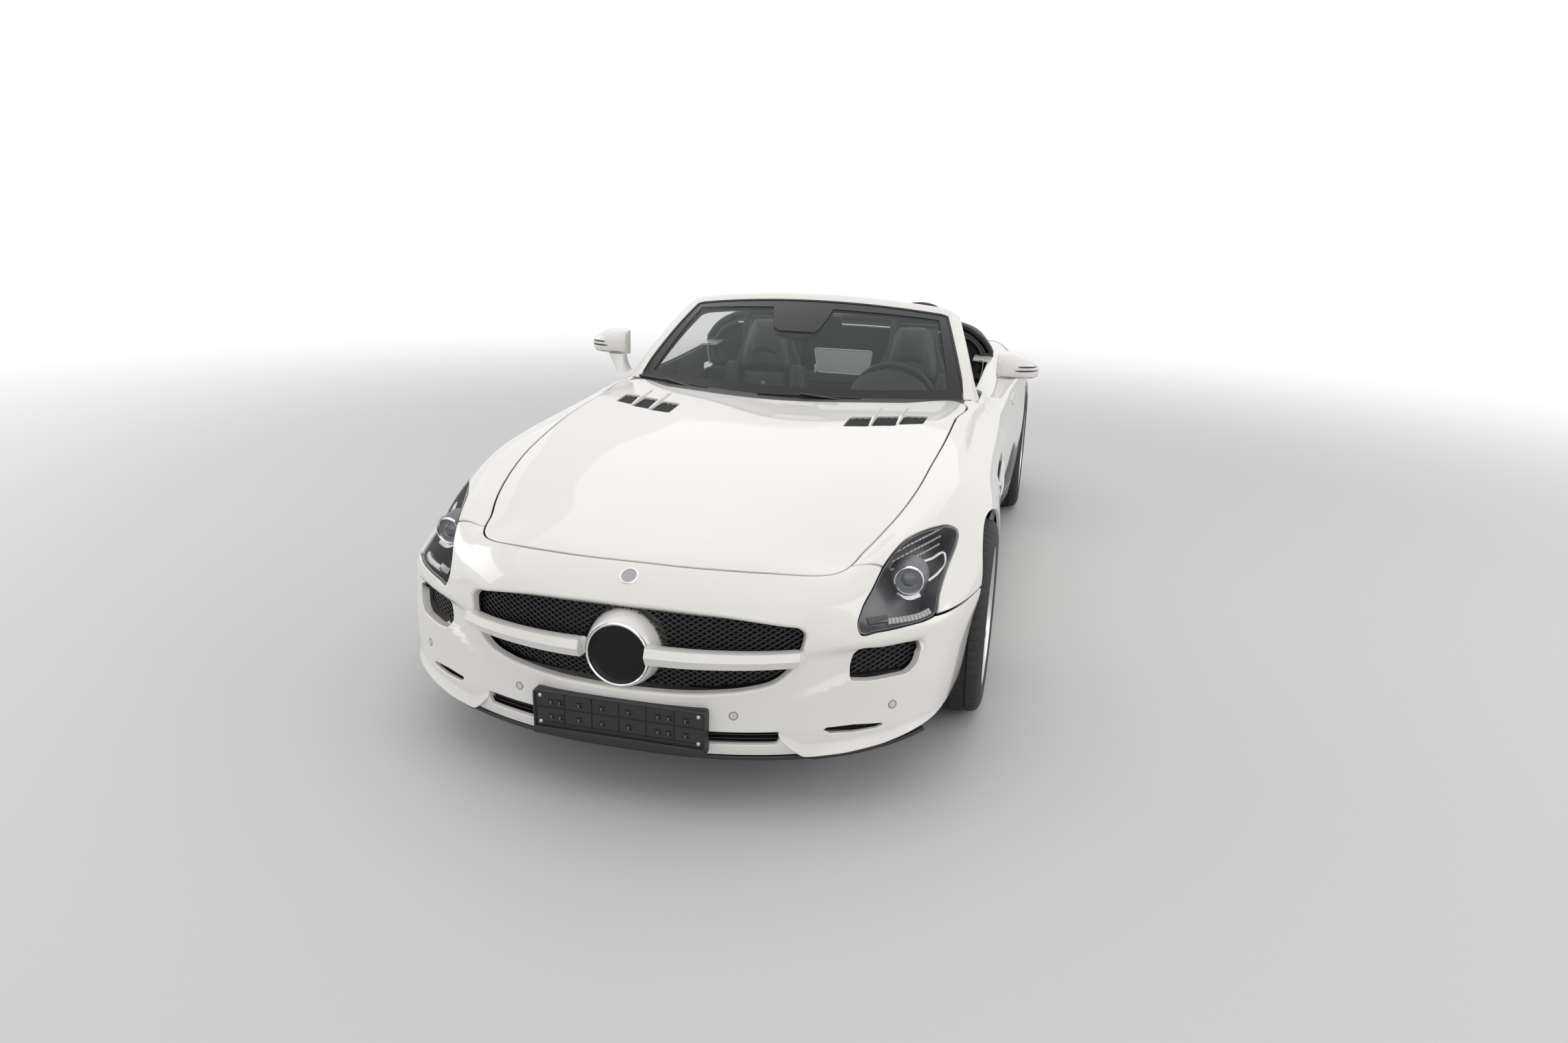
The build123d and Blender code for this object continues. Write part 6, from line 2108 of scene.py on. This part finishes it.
def build_soft_top():
    u = np.linspace(-1, 1, 81)
    middle = []
    for s, depth, push in cloth_rows():
        place, n = roof_point(u, s), roof_normal(u, s)
        fold = (.0024 * np.sin(u * 9 + s * 21) + .0016 * np.sin(u * 23 - s * 37)
                + .0012 * np.sin(s * 95 + u * 4))
        slack = fold * (1 - np.abs(u) ** 8)
        middle.append(place - n * (depth - slack + .002)[:, None] + (0, push, 0))
    tuck = middle[-1]
    for share in (.35, .70, 1.0):
        middle.append(tuck + np.array((0, .018, 0)) * math.sin(share * math.pi / 2)
                      - np.array((0, 0, .026)) * (1 - math.cos(share * math.pi / 2)))
    middle = np.array(middle)
    across, down = np.gradient(middle, axis=1), np.gradient(middle, axis=0)
    n = np.cross(across, down)
    n /= np.linalg.norm(n, axis=-1, keepdims=True)
    outer, inner = middle + n * CLOTH_THICK / 2, middle - n * CLOTH_THICK / 2
    cloth = Mesh()
    cloth.solid(*loft(np.concatenate([outer, inner[:, ::-1]], axis=1)))
    piece = cloth.build("soft_top_cloth", "chassis", "canvas", ["soft_top"], sharp=60)
    well = Mesh()
    rings = []
    for s in np.linspace(3.200, 3.548, 12):
        v = np.linspace(-1, 1, 31)
        depth = CLOTH_GAP * 3 + .012
        upper = roof_point(v, s) - roof_normal(v, s) * depth
        upper[:, 2] -= .010 * (s > 3.5)
        rings.append(np.concatenate([upper, [(.640, s, .802), (-.640, s, .802)]]))
    well.solid(*loft(rings))
    well.build("soft_top_well", "chassis", "inner_black")
    frame_mesh = Mesh()
    bow = [(x, 3.190 + .006 * (x / .6) ** 2, 1.038 - .020 * (x / .62) ** 2)
           for x in np.linspace(-.600, .600, 40)]
    frame_mesh.solid(*sweep(bow, rounded(.012, .016, .005)), finish=1)
    start = 3.200
    for z in (.900, .860):
        arm = curve_through([(.722, start, z - .03), (.738, start + .02, z), (.736, start + .16, z + .010),
                             (.700, start + .30, z - .01)], 24)
        both_sides(frame_mesh, sweep(arm, rounded(.012, .026, .004)))
    link = curve_through([(.600, 3.190, 1.020), (.680, 3.188, .985), (.722, 3.188, .930),
                          (.730, 3.190, .860)], 20)
    both_sides(frame_mesh, sweep(link, rounded(.014, .022, .005), up=(0, 1, 0)))
    frame_mesh.build("soft_top_frame", "chassis", ["trim_black", "satin"])
    hem = Mesh()
    line = [(np.polyval(ROOF_FIT["half"], s - 3.2) - .022, s, np.polyval(ROOF_FIT["crown"], s - 3.2)
             - np.polyval(ROOF_FIT["drop"], s - 3.2) - .022) for s in np.linspace(3.200, 3.545, 26)]
    both_sides(hem, sweep(line, rounded(.040, .030, .010)))
    hem.build("soft_top_seal", "chassis", "soft_black")
    strap = Mesh()
    path = curve_through([(.726, 3.070, .918), (.738, 3.084, .910), (.742, 3.090, .882), (.738, 3.092, .842),
                          (.730, 3.094, .800)], 26)
    both_sides(strap, sweep(path, rounded(.005, .014, .002), up=(0, 1, 0)))
    strap.build("side_straps", "chassis", "pale_rim")


# ---------- tail ----------
LAMP_BAND = Outline([(.47, 4.6, .7225), (.60, 4.56, .7215), (.76, 4.45, .7205), (.855, 4.32, .7245),
                     (.850, 4.3, .7385), (.74, 4.43, .7365), (.58, 4.54, .7375), (.475, 4.6, .7385)],
                     (0, 1, 0), corner=.006)


def build_tail_lamps():
    azimuth, elevation = np.radians(np.arange(24, 80, .7)), np.radians(np.arange(14, 34, .55))
    red = patch(TAIL_CHART, azimuth, elevation, [within(TAIL_LAMP, .0005), outside(LAMP_BAND, .002)])
    band = patch(TAIL_CHART, azimuth, elevation, [within(LAMP_BAND, .0)])
    lamp, clear, back = Mesh(), Mesh(), Mesh()
    shell(red, .010, .002, mesh=lamp)
    shell(band, .010, .001, mesh=clear)
    tray = patch(TAIL_CHART, azimuth, elevation, [within(TAIL_LAMP, .004)])
    sunk = (tray[0] - tray[1] * .016, *tray[1:])
    shell(sunk, .014, .001, mesh=back)
    build_pairs((lamp, "tail_lamp_lens", "chassis", "red_glass", "tail_lamps"),
                (clear, "tail_lamp_band", "chassis", "led"),
                (back, "tail_lamp_housing", "chassis", "inner_black"))


def build_tail_details():
    tray, plate, red, chrome, dark = Mesh(), Mesh(), Mesh(), Mesh(), Mesh()
    corners = PLATE_NOTCH.ring
    notch = np.concatenate([np.linspace(a, b, max(2, int(np.linalg.norm(b - a) / .02)), endpoint=False)
                            for a, b in zip(corners, np.roll(corners, -1, axis=0))])
    across, height = notch @ PLATE_NOTCH.axes.T[:, 0], notch @ PLATE_NOTCH.axes.T[:, 2]
    middle_z = .48

    def notch_ring(scale, inward):
        x, z = across * scale, middle_z + (height - middle_z) * scale
        ring = behind(x, z)
        return ring - (0, 1, 0) * np.full((len(ring), 1), inward)

    flat = notch_ring(1.0, .0)[:, 1].min() - .034
    inner = notch_ring(.96, 0.0)
    inner[:, 1] = flat
    small = inner * (.02, 1, .02) + (0, 0, middle_z * .98)
    outer = notch_ring(1.03, 0.0)
    outer[:, 1] = flat - .006
    far = outer * (.02, 1, .02) + (0, 0, middle_z * .98)
    tray.solid(*loft([small, inner, notch_ring(.992, .006), notch_ring(1.03, .010), outer, far]))
    tray.build("rear_plate_recess", "chassis", "trim_black")
    board = [(x, flat + .005, middle_z + z) for x, z in rounded(.496, .108, .008)]
    plate.solid(*prism(board, (0, .004, 0), .001))
    plate.build("rear_plate_blank", "chassis", "plate_pale")
    line = above(np.linspace(-.19, .19, 30), np.full(30, 4.490)) + (0, 0, .003)
    red.solid(*sweep(line, rounded(.016, .012, .004)))
    red.build("high_brake_light", "boot_lid", "red_glass")
    for side in (-1, 1):
        for x in (.130, .300):
            fin = [(side * x, s, z)
                   for s, z in ((4.470, .205), (4.600, .206), (4.632, .232), (4.634, .275), (4.560, .300),
                                                 (4.480, .290))]
            dark.solid(*prism(fin, (side * .010, 0, 0), .003))
    for low, high in ((.432, .493), (.497, .558)):
        centre = ((low + high) / 2, .252)
        rings = []
        for s, grow in ((4.540, 1.04), (4.600, 1.10), (4.620, 1.12), (4.626, 1.08), (4.618, .98),
                        (4.570, .94)):
            outline = rounded((high - low) * min(grow, 1.06), .062 * grow, .016, turns=5)
            rings.append(np.column_stack([centre[0] + outline[:, 0], np.full(len(outline), s),
                                          centre[1] + outline[:, 1]]))
        both_sides(chrome, loop_loft(rings))
    # Dark plates inside the exhaust tips: painted shade for the hollow of each pipe.
    for middle_x in (.4625, .5275):
        outline = rounded(.056, .058, .014, turns=4)
        tip_shade_plate = np.column_stack([middle_x + outline[:, 0], np.full(len(outline), 4.6115),
                                .252 + outline[:, 1]])
        both_sides(dark, prism(tip_shade_plate, (0, .003, 0), .001))
    # The diffuser fins are black trim; the plates in the tips are painted shade.
    dark.build("tail_trim_and_tip_shade", "chassis", "gloss_black")
    chrome.build("exhaust_tips", "chassis", "chrome")


# ---------- glass details ----------
SENSOR = [(-.300, .900), (-.245, .740), (-.215, .630), (-.150, .590), (.080, .605), (.108, .650),
          (.135, .770), (.155, .900)]


def build_screen_details():
    case, arms = Mesh(), Mesh()
    outline = closed_curve(np.array(SENSOR), .03)
    middle = outline.mean(0)
    rings = []
    for share, drop in ((.985, .0098), (1.0, .013), (.93, .045), (.78, .055), (.30, .058)):
        spot = middle + (outline - middle) * share
        rings.append(screen_point(spot[:, 0], spot[:, 1]) - screen_normal(spot[:, 0], spot[:, 1]) * drop)
    case.solid(*loft(rings))
    glass = [(x, 2.470, 1.128 + z) for x, z in rounded(.225, .062, .020, turns=5)]
    case.solid(*prism(glass, (0, .022, .006), .004))
    case.solid(*sweep([(0, 2.440, 1.185), (0, 2.455, 1.160), (0, 2.474, 1.135)], circle(.010, 12),
                      up=(1, 0, 0)))
    case.build("screen_sensor_case", "chassis", "sensor_black")
    for u_tip, u_pivot in ((-.955, -.440), (-.130, .430)):
        u = np.linspace(u_tip, u_pivot, 40)
        v = .006 + .008 * np.sin(np.linspace(0, math.pi, 40))
        n = screen_normal(u, v)
        blade = screen_point(u, v) + n * .0045
        arms.solid(*sweep(blade, [(-.003, -.004), (.003, -.004), (.004, .003), (.0015, .006), (-.0015, .006),
                                  (-.004, .003)]))
        u = np.linspace((u_tip + u_pivot) / 2 - .04, u_pivot + .06, 24)
        v = np.linspace(.020, -.040, 24)
        arm = screen_point(u, v) + screen_normal(u, v) * .013
        arms.solid(*sweep(arm, rounded(.014, .007, .003)))
        disc_on(arms, arm[-1] - (0, 0, .010), (0, -.2, 1), .014, .018)
    arms.build("wipers", "chassis", "trim_black")


# ---------- brakes and floor ----------
def build_calipers():
    for end, hub, body, turn in (("front", FRONT_HUB, "knuckle_{}", 38), ("rear", REAR_HUB, "chassis", 142)):
        rings = []
        for a in np.radians(np.linspace(turn - 30, turn + 30, 15)):
            out = np.array((0, math.cos(a), math.sin(a)))
            bulge = 1 - .25 * ((a - math.radians(turn)) / math.radians(30)) ** 4
            outline = [(-.094, .118), (-.094, .196 * bulge ** .2), (-.086, .204), (-.018, .204),
                       (-.010, .196 * bulge ** .2), (-.010, .118), (-.030, .112), (-.036, .126),
                       (-.036, .190), (-.068, .190), (-.068, .126), (-.074, .112)]
            rings.append([np.array(hub) + (along, 0, 0) + out * radius for along, radius in outline])
        build_pairs((Mesh().solid(*loft(rings)), f"caliper_{end}", body, "caliper_grey"))


def build_carpets():
    mesh, pedal = Mesh(), Mesh()
    rings = []
    for s in np.linspace(1.95, 3.105, 40):
        wave = .0015 * math.sin(s * 17)
        half = [(.141, .178), (.141, .192 + wave), (.150, .197 + wave), (.40, .194 + wave),
                (.700, .197 + wave), (.742, .205 + wave), (.748, .200), (.748, .178)]
        rings.append([(x, s, z) for x, z in half])
    both_sides(mesh, loft(rings))
    mesh.build("cabin_carpet", "chassis", "carpet")
    for x, wide in ((.300, .050), (.420, .075)):
        face = [(x + px, 2.030 + pz * .35, .285 + pz) for px, pz in rounded(wide, .080, .012, turns=4)]
        pedal.solid(*prism(face, (0, -.012, .004), .003))
        pedal.solid(*sweep([(x, 2.020, .300), (x, 1.975, .400), (x, 1.960, .520)], rounded(.010, .016, .003),
                           up=(1, 0, 0)))
    pedal.build("pedals", "chassis", "satin_dark")


def build_engine_bay():
    """A ribbed cover, cam covers and air ducts on the engine block."""
    cover, duct, metal = Mesh(), Mesh(), Mesh()
    rings = []
    for s in np.linspace(1.250, 1.700, 22):
        lift = .016 * smoothstep(1.24, 1.34, s) * (1 - smoothstep(1.62, 1.71, s))
        outline = rounded(.360, .084, .030, turns=5)
        rings.append(np.column_stack([outline[:, 0], np.full(len(outline), s), .765 + lift + outline[:, 1]]))
    cover.solid(*loft(rings))
    for x in np.linspace(-.135, .135, 7):
        cover.solid(*sweep([(x, s, .823) for s in np.linspace(1.36, 1.60, 8)], rounded(.014, .010, .003)))
    for s in (1.29, 1.66):
        for x in (.150, -.150):
            disc_on(cover, (x, s, .806), (0, 0, 1), .014, .004, dip=.002)
    both_sides(metal, block((.190, 1.215, .700), (.292, 1.745, .786), .016))
    for s in np.linspace(1.27, 1.69, 8):
        both_sides(metal, sweep([(x, s, .786) for x in (.202, .241, .280)], rounded(.010, .010, .003)))
    rings = []
    for s in np.linspace(.930, 1.200, 12):
        outline = rounded(.150, .096, .030, turns=5)
        rings.append(np.column_stack([.215 + outline[:, 0], np.full(len(outline), s), .735 + outline[:, 1]]))
    both_sides(duct, loft(rings))
    inlet = curve_through([(.215, .960, .720), (.215, .800, .690), (.225, .600, .640), (.240, .440, .600)],
                          24)
    both_sides(duct, sweep(inlet, circle(.040, 20)))
    for s in (.955, 1.065, 1.175):
        both_sides(metal, sweep([(x, s, .785) for x in (.150, .215, .280)], rounded(.012, .006, .002)))
    cover.build("engine_cover", "chassis", "trim_black")
    metal.build("engine_cam_covers", "chassis", "cast_metal")
    duct.build("engine_air_ducts", "chassis", "soft_black")


def arch_liner(axle, hub_z, inner, outer, radius=.374):
    """A thin half drum over one wheel, as a closed solid."""
    section = rounded(outer - inner, .004, .0015)
    reach, across = radius + section[:, 1], (inner + outer) / 2 + section[:, 0]
    rings = []
    for angle in np.radians(np.linspace(160, 20, 40)):
        rings.append(np.column_stack([across, axle + reach * np.cos(angle), hub_z + reach * np.sin(angle)]))
    return loft(rings)


def build_arch_liners():
    """Liners that close the rear wheel arches towards the boot."""
    liner = Mesh()
    both_sides(liner, arch_liner(REAR_AXLE, .3425, .600, .880))
    liner.build("arch_liners_rear", "chassis", "soft_black")


for build in (build_bonnet, build_front_bumper, build_boot_lid, build_rear_bumper, build_front_wing,
              build_door_skin, build_rear_wing, build_sill, build_wheels, build_grille, build_intake,
              build_windscreen, build_cowl, build_headlamps, build_bonnet_vents, build_canards,
              build_nose_details, build_plate_holder, build_gills, build_handles, build_mirrors, build_seats,
              build_dashboard, build_console, build_steering_wheel, build_door_trims, build_bulkhead,
              build_roll_hoops, build_deflector, build_soft_top, build_tail_lamps, build_tail_details,
              build_screen_details, build_calipers, build_carpets, build_engine_bay, build_arch_liners):
    build()

# ---------- carried-over nodes ----------
NODE_FINISH = {
    "rear_diffuser": "trim_black", "floor_pan": "inner_black", "boot_floor": "inner_black",
    "powertrain": "cast_metal", "exhaust": "satin", "front_suspension": "cast_metal",
    "rear_suspension": "cast_metal", "knuckle_left": "cast_metal", "knuckle_right": "cast_metal",
}
for node, used in NODE_FINISH.items():
    slots = frame["nodes"][node].material_slots
    if slots:
        for material_slot in slots:
            material_slot.material = FINISH[used]
    else:
        frame["nodes"][node].data.materials.append(FINISH[used])

# ---------- floor, lamps and camera ----------
WHITE, AMBIENT = 1.0, 0.50    # the surround's strength as the camera sees it, and as it lights the car
FLOOR_FADE = (3.5, 9.0)      # the floor turns to white between these distances


def build_stage():
    """A pale floor that runs out to a white surround."""
    rings = [(r, 0.0) for r in (0.01, 2.0, 4.0, 8.0, 20.0, 60.0)]
    count = 96
    angles = np.linspace(0, 2 * math.pi, count, endpoint=False)
    points = [[r * math.cos(a), r * math.sin(a), z] for r, z in rings for a in angles]
    faces = loft(np.array(points).reshape(len(rings), count, 3), caps=False)[1]
    mesh = bpy.data.meshes.new("floor")
    mesh.from_pydata(points, [], faces + [list(range(count))[::-1]])
    made = bpy.data.materials.new("floor_paint")
    made.use_nodes = True
    nodes, links = made.node_tree.nodes, made.node_tree.links
    shader = nodes["Principled BSDF"]
    shader.inputs["Roughness"].default_value = 0.62
    noise = nodes.new("ShaderNodeTexNoise")
    noise.inputs["Scale"].default_value = 1.6
    noise.inputs["Detail"].default_value = 8
    blend = nodes.new("ShaderNodeMix")
    blend.data_type = "RGBA"
    blend.inputs["A"].default_value = (0.60, 0.60, 0.60, 1)
    blend.inputs["B"].default_value = (0.66, 0.66, 0.66, 1)
    links.new(noise.outputs["Fac"], blend.inputs["Factor"])
    links.new(blend.outputs["Result"], shader.inputs["Base Color"])
    place = nodes.new("ShaderNodeTexCoord")
    reach = nodes.new("ShaderNodeVectorMath")
    reach.operation = "LENGTH"
    links.new(place.outputs["Object"], reach.inputs[0])
    fade = nodes.new("ShaderNodeMapRange")
    fade.interpolation_type = "SMOOTHSTEP"
    fade.inputs["From Min"].default_value, fade.inputs["From Max"].default_value = FLOOR_FADE
    links.new(reach.outputs["Value"], fade.inputs["Value"])
    path = nodes.new("ShaderNodeLightPath")
    seen = nodes.new("ShaderNodeMath")
    seen.operation = "MULTIPLY"
    links.new(path.outputs["Is Camera Ray"], seen.inputs[0])
    links.new(fade.outputs["Result"], seen.inputs[1])
    white = nodes.new("ShaderNodeEmission")
    mixed = nodes.new("ShaderNodeMixShader")
    links.new(seen.outputs[0], mixed.inputs[0])
    links.new(shader.outputs[0], mixed.inputs[1])
    links.new(white.outputs[0], mixed.inputs[2])
    links.new(mixed.outputs[0], nodes["Material Output"].inputs["Surface"])
    mesh.materials.append(made)
    floor = bpy.data.objects.new("floor", mesh)
    bpy.context.scene.collection.objects.link(floor)


def build_world():
    world = bpy.data.worlds.new("studio")
    bpy.context.scene.world = world
    world.use_nodes = True
    nodes, links = world.node_tree.nodes, world.node_tree.links
    background = nodes["Background"]
    path = nodes.new("ShaderNodeLightPath")
    seen = path.outputs["Is Camera Ray"]
    for ray in ("Is Glossy Ray", "Is Transmission Ray"):
        either = nodes.new("ShaderNodeMath")
        either.operation = "MAXIMUM"
        links.new(seen, either.inputs[0])
        links.new(path.outputs[ray], either.inputs[1])
        seen = either.outputs[0]
    strength = nodes.new("ShaderNodeMapRange")
    strength.inputs["To Min"].default_value = AMBIENT
    strength.inputs["To Max"].default_value = WHITE
    links.new(seen, strength.inputs["Value"])
    links.new(strength.outputs["Result"], background.inputs["Strength"])
    background.inputs["Color"].default_value = (1, 1, 1, 1)


def area_lamp(name, place, target, size, power):
    data = bpy.data.lights.new(name, "AREA")
    data.shape = "RECTANGLE"
    data.size, data.size_y = size
    data.energy = power
    lamp = bpy.data.objects.new(name, data)
    bpy.context.scene.collection.objects.link(lamp)
    lamp.location = place
    lamp.rotation_euler = (Vector(target) - Vector(place)).to_track_quat("-Z", "Y").to_euler()


# Name, place, target, size and watts
LAMPS = (("ceiling", (0, 3.0, 6.0), (0, 3.0, 0), (11.0, 20.0), 300),
         ("left_wall", (7.0, -1.0, 3.2), (0, 0, 0.5), (7.0, 3.0), 115),
         ("right_wall", (-7.0, -1.0, 3.2), (0, 0, 0.5), (7.0, 3.0), 115),
         ("front_wall", (1.0, -9.0, 3.6), (0, -1.5, 0.5), (14.0, 5.0), 140))
build_stage()
build_world()
for lamp in LAMPS:
    area_lamp(*lamp)

# The camera, found from the photograph: frame place in metres, angles in degrees
CAMERA_PLACE = (1.094, -4.899, 1.720)
CAMERA_YAW, CAMERA_PITCH, CAMERA_ROLL = 13.70, 16.96, 1.588
FOCAL_PIXELS, IMAGE_WIDTH = 1635, 2358


def build_camera():
    yaw, pitch, roll = (math.radians(a) for a in (CAMERA_YAW, CAMERA_PITCH, CAMERA_ROLL))
    forward = Vector((-math.sin(yaw) * math.cos(pitch), math.cos(yaw) * math.cos(pitch), -math.sin(pitch)))
    right = forward.cross(Vector((0, 0, 1))).normalized()
    up = right.cross(forward)
    turned_right = right * math.cos(roll) + up * math.sin(roll)
    turned_up = up * math.cos(roll) - right * math.sin(roll)
    data = bpy.data.cameras.new("camera")
    data.sensor_width = 36.0
    data.sensor_fit = "HORIZONTAL"
    data.lens = FOCAL_PIXELS / IMAGE_WIDTH * data.sensor_width
    data.clip_end = 200
    camera = bpy.data.objects.new("camera", data)
    bpy.context.scene.collection.objects.link(camera)
    axes = Matrix((turned_right, turned_up, -forward)).transposed().to_4x4()
    camera.matrix_world = Matrix.Translation(CAMERA_PLACE) @ axes
    bpy.context.scene.camera = camera


build_camera()
bpy.context.scene.view_settings.view_transform = "Standard"
